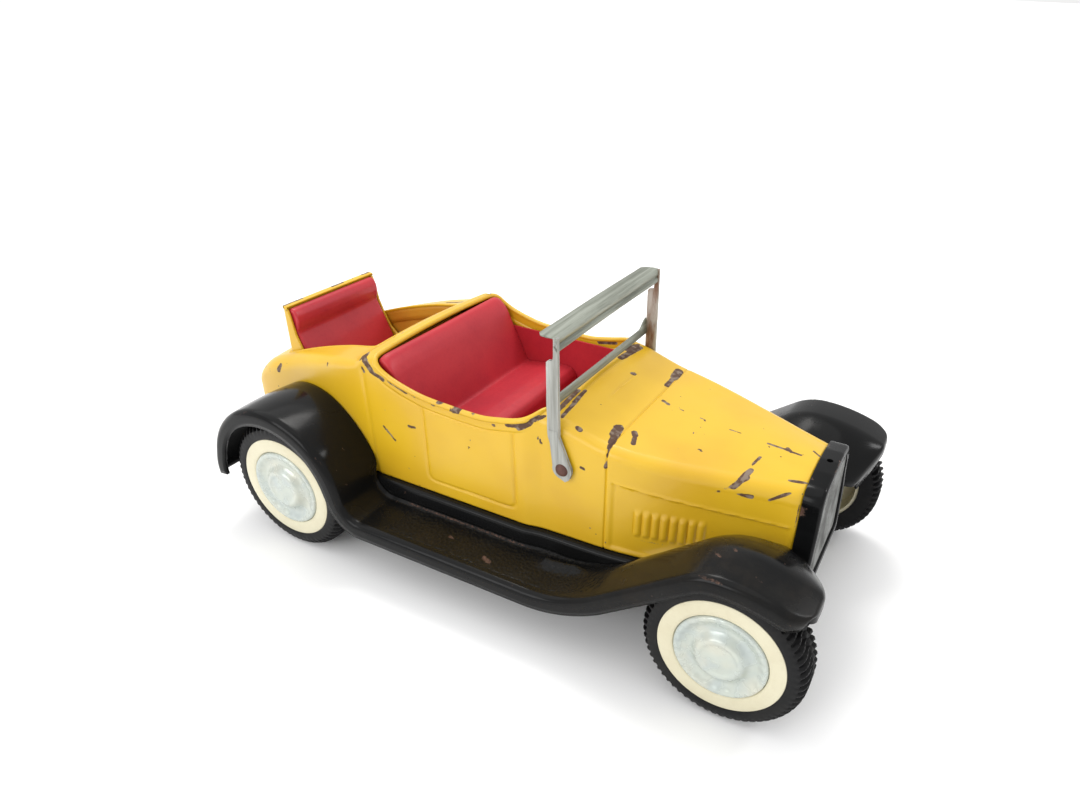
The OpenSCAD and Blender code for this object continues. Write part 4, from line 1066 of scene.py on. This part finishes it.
lid_low, lid_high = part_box("rumble_lid")
LID_HALF = lid_high.y / MM
LID_TOP = lid_high.z / MM
LID_FOOT = lid_low.z / MM
LID_X = lid_low.x / MM - rear_axle_x / MM
skin_z = np.concatenate([
    np.linspace(LID_FOOT + 0.2, LID_TOP - 1.0, 60), [LID_TOP - 0.6, LID_TOP - 0.25, LID_TOP],
])
LID_MARKS = [
    ((-28, -24, 84), (-28, -14, 84), 0.9, 0.62), ((-28, 2, 84.2), (-28, 8, 84.2), 1.0, 0.75),
    ((-28, 20, 84.2), (-28, 24, 84), 0.9, 0.7), ((-28, -24.2, 80), (-27, -24.2, 66), 0.5, 0.45),
]


def lid_section(z):
    """The lid's outline at one height: back skin with both sides turned forward."""
    reach = np.interp(
        z, [46.8, 50, 52.2, 56, 60, 66, 72, 80, 82.7, LID_TOP],
        [1.2, 23.6, 22.9, 15, 10.5, 7.2, 4.8, 3.4, 2.4, 0.35],
    )
    corner = np.linspace(0, math.pi / 2, 7)
    r = min(1.2, reach)
    half = [(LID_X + reach, LID_HALF)] + [(LID_X + reach * k, LID_HALF) for k in (0.75, 0.5, 0.3)]
    half = [p for p in half if p[0] > LID_X + r]
    half += [(LID_X + r * (1 - math.sin(a)), LID_HALF - r * (1 - math.cos(a))) for a in corner]
    half += [(LID_X, y) for y in np.linspace(LID_HALF - r - 1, 0.001, 16)]
    half = np.array(half)
    run = np.append(0, np.cumsum(np.hypot(*np.diff(half, axis=0).T)))
    where = np.concatenate([
        np.linspace(0, max(reach - r, 0), 10, endpoint=False), np.linspace(max(reach - r, 0), run[-1], 40),
    ])
    x, y = np.interp(where, run, half[:, 0]), np.interp(where, run, half[:, 1])
    x, y = np.concatenate([x, x[:-1][::-1]]), np.concatenate([y, -y[:-1][::-1]])
    return np.stack([x, y, np.full(len(x), z)], 1)


lid_rings = [lid_section(z) for z in skin_z]
for forward, lowered in ((0.25, -0.02), (0.8, 0.0), (1.7, 0.05), (2.1, 0.3), (2.2, 0.8)):
    lip = lid_rings[len(skin_z) - 1] + np.array([forward, 0, -lowered])
    lid_rings.append(lip)
lid_sheet = skin("rumble_lid_sheet", np.array(lid_rings), marks=LID_MARKS)
thicken(lid_sheet, 0.9)
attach(lid_sheet, "rumble_lid")
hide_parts("rumble_lid")
lid_sheet.data.materials.append(yellow_paint)

pad_red = moulded("pad_red", (0.50, 0.030, 0.042), (0.38, 0.016, 0.032), 0.36, 700.0, 0.00003, 0.12)
back = LID_X + 1.05
pad_profile = [
    (back, 50.2), (back, 66.0), (back, 81.2), (back + 0.5, 82.6), (back + 2.0, 83.0), (back + 3.6, 82.2),
    (back + 4.7, 80.2), (back + 5.0, 77.6), (back + 4.6, 75.2), (back + 3.9, 73.4), (back + 4.0, 72.4),
    (back + 5.0, 70.2), (back + 7.4, 65.2), (back + 10.0, 59.6), (back + 12.0, 54.8), (back + 11.9, 52.0),
    (back + 10.6, 50.2),
]
pad = cushion_strip("rumble_backrest", pad_profile, 22.9, 1.1, 0.5)
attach(pad, "rumble_lid")
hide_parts("rumble_pad")
pad.data.materials.append(pad_red)


# ---------------------------------------------------------------------------
# Windshield. A frame of dull plated steel strip, without glass: two cranked
# arms on rivets through the cowl, a header folded into a sun visor, and a
# lower bar whose ends curve up into the arms. It folds forward on the hood.
# ---------------------------------------------------------------------------
dull_plate = bare_metal("dull_plate", (0.31, 0.33, 0.28), (0.15, 0.16, 0.13), 0.45, 0.34, (3, 0.16, 3))
arm_plate = bare_metal("arm_plate", (0.48, 0.49, 0.46), (0.28, 0.28, 0.255), 0.45, 0.36, (2.5, 2.5, 0.15))
rusty_plate = bare_metal(
    "rusty_plate", (0.52, 0.53, 0.50), (0.22, 0.12, 0.07), 0.4, 0.42, (2, 2, 0.5), 0.00006
)
SCREEN_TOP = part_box("windshield_frame")[1].z / MM
ARM_IN = 37.0
ARM_OUT = 38.1
SCREEN_PIN = (111.3, 58.9)


def strip_piece(name, outline, low_y, high_y, bevel=0.22):
    """A flat plate cut to a side outline, with softened edges."""
    outline = np.asarray(outline, float)
    ys = np.linspace(low_y, high_y, 2)
    rings = [np.stack([outline[:, 0], np.full(len(outline), y), outline[:, 1]], 1) for y in ys]
    made = skin(name, np.array(rings), rows_closed=True, caps=True)
    edge = made.modifiers.new("soft_edges", "BEVEL")
    edge.width = bevel * MM
    edge.segments = 2
    edge.limit_method = "ANGLE"
    return made


def round_points(centre, radius, start, end, count):
    return [
        (centre[0] + radius * math.cos(math.radians(a)), centre[1] + radius * math.sin(math.radians(a)))
        for a in np.linspace(start, end, count)
    ]


arm_outline = round_points(SCREEN_PIN, 3.5, 165, 262, 8)
arm_outline += [(SCREEN_PIN[0] + 1.2, SCREEN_PIN[1] - 4.3), (SCREEN_PIN[0] + 2.6, SCREEN_PIN[1] - 3.2)]
arm_outline += round_points(SCREEN_PIN, 3.5, 330, 390, 6)
arm_outline += [(112.0, 66.5), (110.6, 69.9), (110.1, 71.4), (110.1, 85), (110.1, 107.2)]
arm_outline += [(108.9, 107.2), (108.8, 101), (108.6, 99.4), (107.9, 98.9), (106.7, 98.8), (106.15, 98.2)]
arm_outline += [(106.1, 96), (106.1, 84), (106.1, 72.4), (106.3, 70.6), (107.0, 68.4)]
for side_name, side in (("left", 1), ("right", -1)):
    low_y, high_y = sorted((side * ARM_IN, side * ARM_OUT))
    arm = strip_piece(f"screen_arm_{side_name}", arm_outline, low_y, high_y)
    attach(arm, "windshield")
    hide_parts("windshield_frame")
    arm.data.materials.append(rusty_plate if side > 0 else arm_plate)
    link_outline = round_points(SCREEN_PIN, 3.1, 170, 250, 6) + round_points(SCREEN_PIN, 3.1, 300, 380, 6)
    link_outline += [(112.4, 64.6), (110.6, 69.2), (109.9, 71.6), (109.9, 73.4), (106.5, 73.4), (106.6, 70.8)]
    low_y, high_y = sorted((side * (ARM_OUT - 0.1), side * (ARM_OUT + 0.12)))
    link = strip_piece(f"screen_link_{side_name}", link_outline, low_y, high_y, 0.1)
    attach(link, "windshield")
    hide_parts("windshield_frame")
    link.data.materials.append(arm_plate)

header_profile = np.array([
    (102.7, SCREEN_TOP - 0.75), (102.65, SCREEN_TOP - 0.35), (104.5, SCREEN_TOP - 0.16),
    (107.4, SCREEN_TOP - 0.02), (109.2, SCREEN_TOP - 0.1), (109.75, SCREEN_TOP - 0.5),
    (110.0, SCREEN_TOP - 1.2), (109.95, SCREEN_TOP - 2.2), (109.55, SCREEN_TOP - 2.7),
    (109.5, SCREEN_TOP - 3.2), (110.05, SCREEN_TOP - 3.8), (110.1, SCREEN_TOP - 5.0),
    (109.7, SCREEN_TOP - 5.45), (109.0, SCREEN_TOP - 5.5),
])
header_rings = []
for y in np.concatenate([[-38.1, -37.9, -37.2], np.linspace(-36.4, 36.4, 60), [37.2, 37.9, 38.1]]):
    clip = 0.45 * max(0.0, abs(y) - 36.6)
    ring = header_profile.copy()
    ring[:3, 0] += clip * 2.2
    sag = 0.12 * math.cos(y / 12.0)
    header_rings.append(np.stack([ring[:, 0], np.full(len(ring), y), ring[:, 1] + min(0, sag - 0.12)], 1))
header = thicken(skin("screen_header", np.array(header_rings)), 0.7)
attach(header, "windshield")
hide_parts("windshield_frame")
header.data.materials.append(dull_plate)

bar_rings = []
for y in np.linspace(-37.2, 37.2, 90):
    lift = 3.4 * step_up(abs(y), 31.0, 37.2)
    low = 79.7
    high = 83.1 + lift
    bar_rings.append(np.array([
        (106.2, y, low + 0.15), (106.25, y, low + 0.8), (106.0, y, high - 0.7), (105.75, y, high - 0.15),
        (105.45, y, high), (105.2, y, high - 0.2), (105.15, y, high - 0.8), (105.2, y, low + 0.5),
        (105.45, y, low), (105.9, y, low - 0.05),
    ]))
lower_bar = skin("screen_lower_bar", np.array(bar_rings), rows_closed=True, caps=True)
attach(lower_bar, "windshield")
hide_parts("windshield_frame")
lower_bar.data.materials.append(dull_plate)

rusty_steel = bare_metal(
    "rusty_steel", (0.13, 0.055, 0.04), (0.06, 0.028, 0.022), 0.25, 0.5, (1, 1, 1), 0.0001
)


def turned(profile, centre, side, steps=48, wave=None):
    """A turned piece on a cross-wise axis; profile is (radius, outward y) from the centre line."""
    angles = np.linspace(0, 2 * math.pi, steps, endpoint=False)
    rings = []
    for a in angles:
        radius = np.array([p[0] for p in profile], float)
        out = np.array([p[1] for p in profile], float)
        if wave is not None:
            radius, out = wave(a, radius, out)
        rings.append(np.stack([
            centre[0] + radius * math.cos(a), side * out, centre[1] + radius * math.sin(a),
        ], 1))
    return np.array(rings)


for side_name, side in (("left", 1), ("right", -1)):
    head = [
        (0.01, 39.2), (0.8, 39.17), (1.5, 39.0), (2.05, 38.7), (2.4, 38.25), (2.35, 38.2),
        (1.2, 38.16), (1.2, 34),
    ]
    rivet = skin(f"screen_rivet_{side_name}", turned(head, SCREEN_PIN, side, 36), columns_closed=True)
    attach(rivet, "chassis")
    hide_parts("windshield_rivets")
    rivet.data.materials.append(rusty_steel)


# ---------------------------------------------------------------------------
# Wheels. Black rubber tyres with slanted lugs, pressed over cream plastic
# wheels with a flat white face. A pearly hub cap with stepped rings and a
# plain raised medallion snaps into each. The rear pair is fixed to its axle.
# ---------------------------------------------------------------------------
LUGS = 62
STEPS_PER_LUG = 8
WHEEL_FACE = 60.8

tyre_rubber, rubber_tree, rubber_shader = new_material("tyre_rubber")
rubber_place = put(rubber_tree, "ShaderNodeTexCoord").outputs["Object"]
rubber_cloud = mottle(rubber_tree, rubber_place, 90.0, 4.0, 0.6)
rubber_fine = mottle(rubber_tree, rubber_place, 1400.0, 3.0)
rubber_colour = blend(
    rubber_tree, ramp(rubber_tree, rubber_cloud, 0.4, 0.75),
    (0.006, 0.006, 0.0065, 1), (0.015, 0.0145, 0.014, 1),
)
rubber_tree.links.new(rubber_colour, rubber_shader.inputs["Base Color"])
rubber_tree.links.new(ramp(rubber_tree, rubber_cloud, 0.3, 0.7, 0.36, 0.6), rubber_shader.inputs["Roughness"])
rubber_shader.inputs["Specular IOR Level"].default_value = 0.16
roughen(rubber_tree, rubber_shader, rubber_fine, 0.00003)

wheel_white = moulded("wheel_white", (0.66, 0.62, 0.455), (0.58, 0.53, 0.37), 0.4, 500.0, 0.00002, 0.15)

hub_pearl, pearl_tree, pearl_shader = new_material("hub_pearl")
pearl_place = put(pearl_tree, "ShaderNodeTexCoord").outputs["Object"]
pearl_cloud = mottle(pearl_tree, pearl_place, 170.0, 3.0, 0.5)
pearl_swirl = mottle(pearl_tree, pearl_place, 80.0, 2.0, 0.5)
pearl_base = blend(
    pearl_tree, ramp(pearl_tree, pearl_cloud, 0.3, 0.7), (0.50, 0.54, 0.48, 1), (0.44, 0.49, 0.47, 1)
)
pearl_colour = blend(pearl_tree, ramp(pearl_tree, pearl_swirl, 0.45, 0.75), pearl_base, (0.56, 0.56, 0.47, 1))
pearl_tree.links.new(pearl_colour, pearl_shader.inputs["Base Color"])
pearl_tree.links.new(ramp(pearl_tree, pearl_cloud, 0.3, 0.7, 0.2, 0.34), pearl_shader.inputs["Roughness"])
pearl_shader.inputs["Metallic"].default_value = 0.25
pearl_shader.inputs["Coat Weight"].default_value = 0.35
pearl_shader.inputs["Coat Roughness"].default_value = 0.08
roughen(pearl_tree, pearl_shader, pearl_cloud, 0.00002)

TYRE_PROFILE = [
    (18.95, 59.15), (20.92, 59.15), (20.93, 60.55), (21.3, 60.68), (22.4, 60.7), (23.8, 60.62), (24.8, 60.4),
    (25.5, 60.0), (26.1, 59.4), (26.6, 58.6), (26.89, 57.6), (26.98, 56.4), (26.98, 54.4), (26.98, 52.4),
    (26.98, 50.4), (26.9, 49.4), (26.5, 48.5), (25.6, 47.8), (24.4, 47.55), (18.95, 47.5),
]
CAP_PROFILE = [
    (14.6, 58.9), (15.4, 58.95), (15.4, 60.4), (15.25, 60.85), (14.9, 61.2), (14.4, 61.3), (13.8, 61.2),
    (13.2, 60.8), (12.4, 60.25), (11.5, 59.85), (10.6, 59.7), (9.8, 59.85), (9.1, 60.35), (8.5, 61.0),
    (8.0, 61.6), (7.6, 62.0), (7.2, 62.24), (6.7, 62.34), (6.2, 62.3), (5.8, 62.1), (5.4, 61.98),
    (5.0, 61.95), (3.0, 62.05), (1.4, 62.12), (0.02, 62.14),
]
WHEEL_PROFILE = [
    (15.45, 58.9), (15.5, 60.3), (15.65, 60.6), (16.0, 60.78), (17.4, 60.8), (19.2, 60.8), (20.4, 60.76),
    (20.8, 60.6), (20.9, 60.3), (20.9, 59.25), (18.9, 59.2), (18.88, 48.1), (17.7, 48.1), (17.65, 57.3),
    (4.0, 57.3), (4.0, 48.1), (1.6, 48.1),
]


def lug_wave(a, radius, out):
    """Cuts the slanted grooves between the lugs into a tyre's tread."""
    inward = WHEEL_FACE - out
    slant = a + 0.016 * np.abs(inward - 7.0)
    pulse = 0.5 + 0.5 * np.cos(slant * LUGS)
    groove = step_up(pulse, 0.30, 0.62)
    on_tread = step_up(radius, 24.4, 26.0)
    return radius - 1.15 * groove * on_tread, out - np.sign(out - 54) * 0.85 * groove * on_tread


def flute_wave(a, radius, out):
    """Presses a ring of shallow flutes into a hub cap."""
    ring = step_up(radius, 12.0, 12.8) * (1 - step_up(radius, 14.4, 15.1))
    return radius, out - 0.2 * ring * (0.5 + 0.5 * np.cos(a * 26))


for corner, side, body in (
    ("rear_left", 1, "rear_wheels"), ("rear_right", -1, "rear_wheels"),
    ("front_left", 1, "front_wheel_left"), ("front_right", -1, "front_wheel_right"),
):
    hub_low, hub_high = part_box(f"wheel_{corner}")
    hub = ((hub_low.x + hub_high.x) / 2 / MM - rear_axle_x / MM, (hub_low.z + hub_high.z) / 2 / MM)
    rings = turned(TYRE_PROFILE, hub, side, LUGS * STEPS_PER_LUG, lug_wave)
    tyre = skin(f"tyre_{corner}_lugged", rings, rows_closed=True, columns_closed=True)
    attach(tyre, body)
    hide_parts(f"tyre_{corner}")
    tyre.data.materials.append(tyre_rubber)
    rings = turned(WHEEL_PROFILE, hub, side, 96)
    disc = skin(f"wheel_{corner}_disc", rings, rows_closed=True, columns_closed=True)
    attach(disc, body)
    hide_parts(f"wheel_{corner}")
    disc.data.materials.append(wheel_white)
    rings = turned(CAP_PROFILE, hub, side, 208, flute_wave)
    cap = skin(f"hubcap_{corner}_pearl", rings, columns_closed=True)
    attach(cap, body)
    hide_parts(f"hubcap_{corner}")
    cap.data.materials.append(hub_pearl)


# ---------------------------------------------------------------------------
# Axles, pins, screws and the friction motor. Plain turned and stamped steel
# with brass-coloured gears and a heavy iron flywheel, all as the CAD has them
# and mostly out of sight under the cabin floor.
# ---------------------------------------------------------------------------
plain_steel = bare_metal("plain_steel", (0.42, 0.41, 0.39), (0.22, 0.20, 0.18), 0.85, 0.3, (1, 0.2, 1))
gear_brass = bare_metal("gear_brass", (0.55, 0.40, 0.16), (0.36, 0.24, 0.09), 0.8, 0.28, (1, 1, 1))
flywheel_iron = bare_metal("flywheel_iron", (0.15, 0.15, 0.16), (0.08, 0.075, 0.075), 0.8, 0.36, (1, 1, 1))
MOTOR_FINISH = {
    "front_axle": plain_steel, "rear_axle": plain_steel, "axle_washers": plain_steel,
    "body_screws": plain_steel, "lid_pins": plain_steel, "motor_plate_left": plain_steel,
    "motor_plate_right": plain_steel, "motor_pillars": plain_steel, "motor_rivets": plain_steel,
    "idler_shaft": plain_steel, "flywheel_shaft": plain_steel, "drive_gear": gear_brass,
    "idler_pinion": gear_brass, "idler_gear": gear_brass, "flywheel_pinion": gear_brass,
    "flywheel": flywheel_iron,
}
for node_name, finish in MOTOR_FINISH.items():
    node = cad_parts[node_name]
    node.data.materials.clear()
    node.data.materials.append(finish)
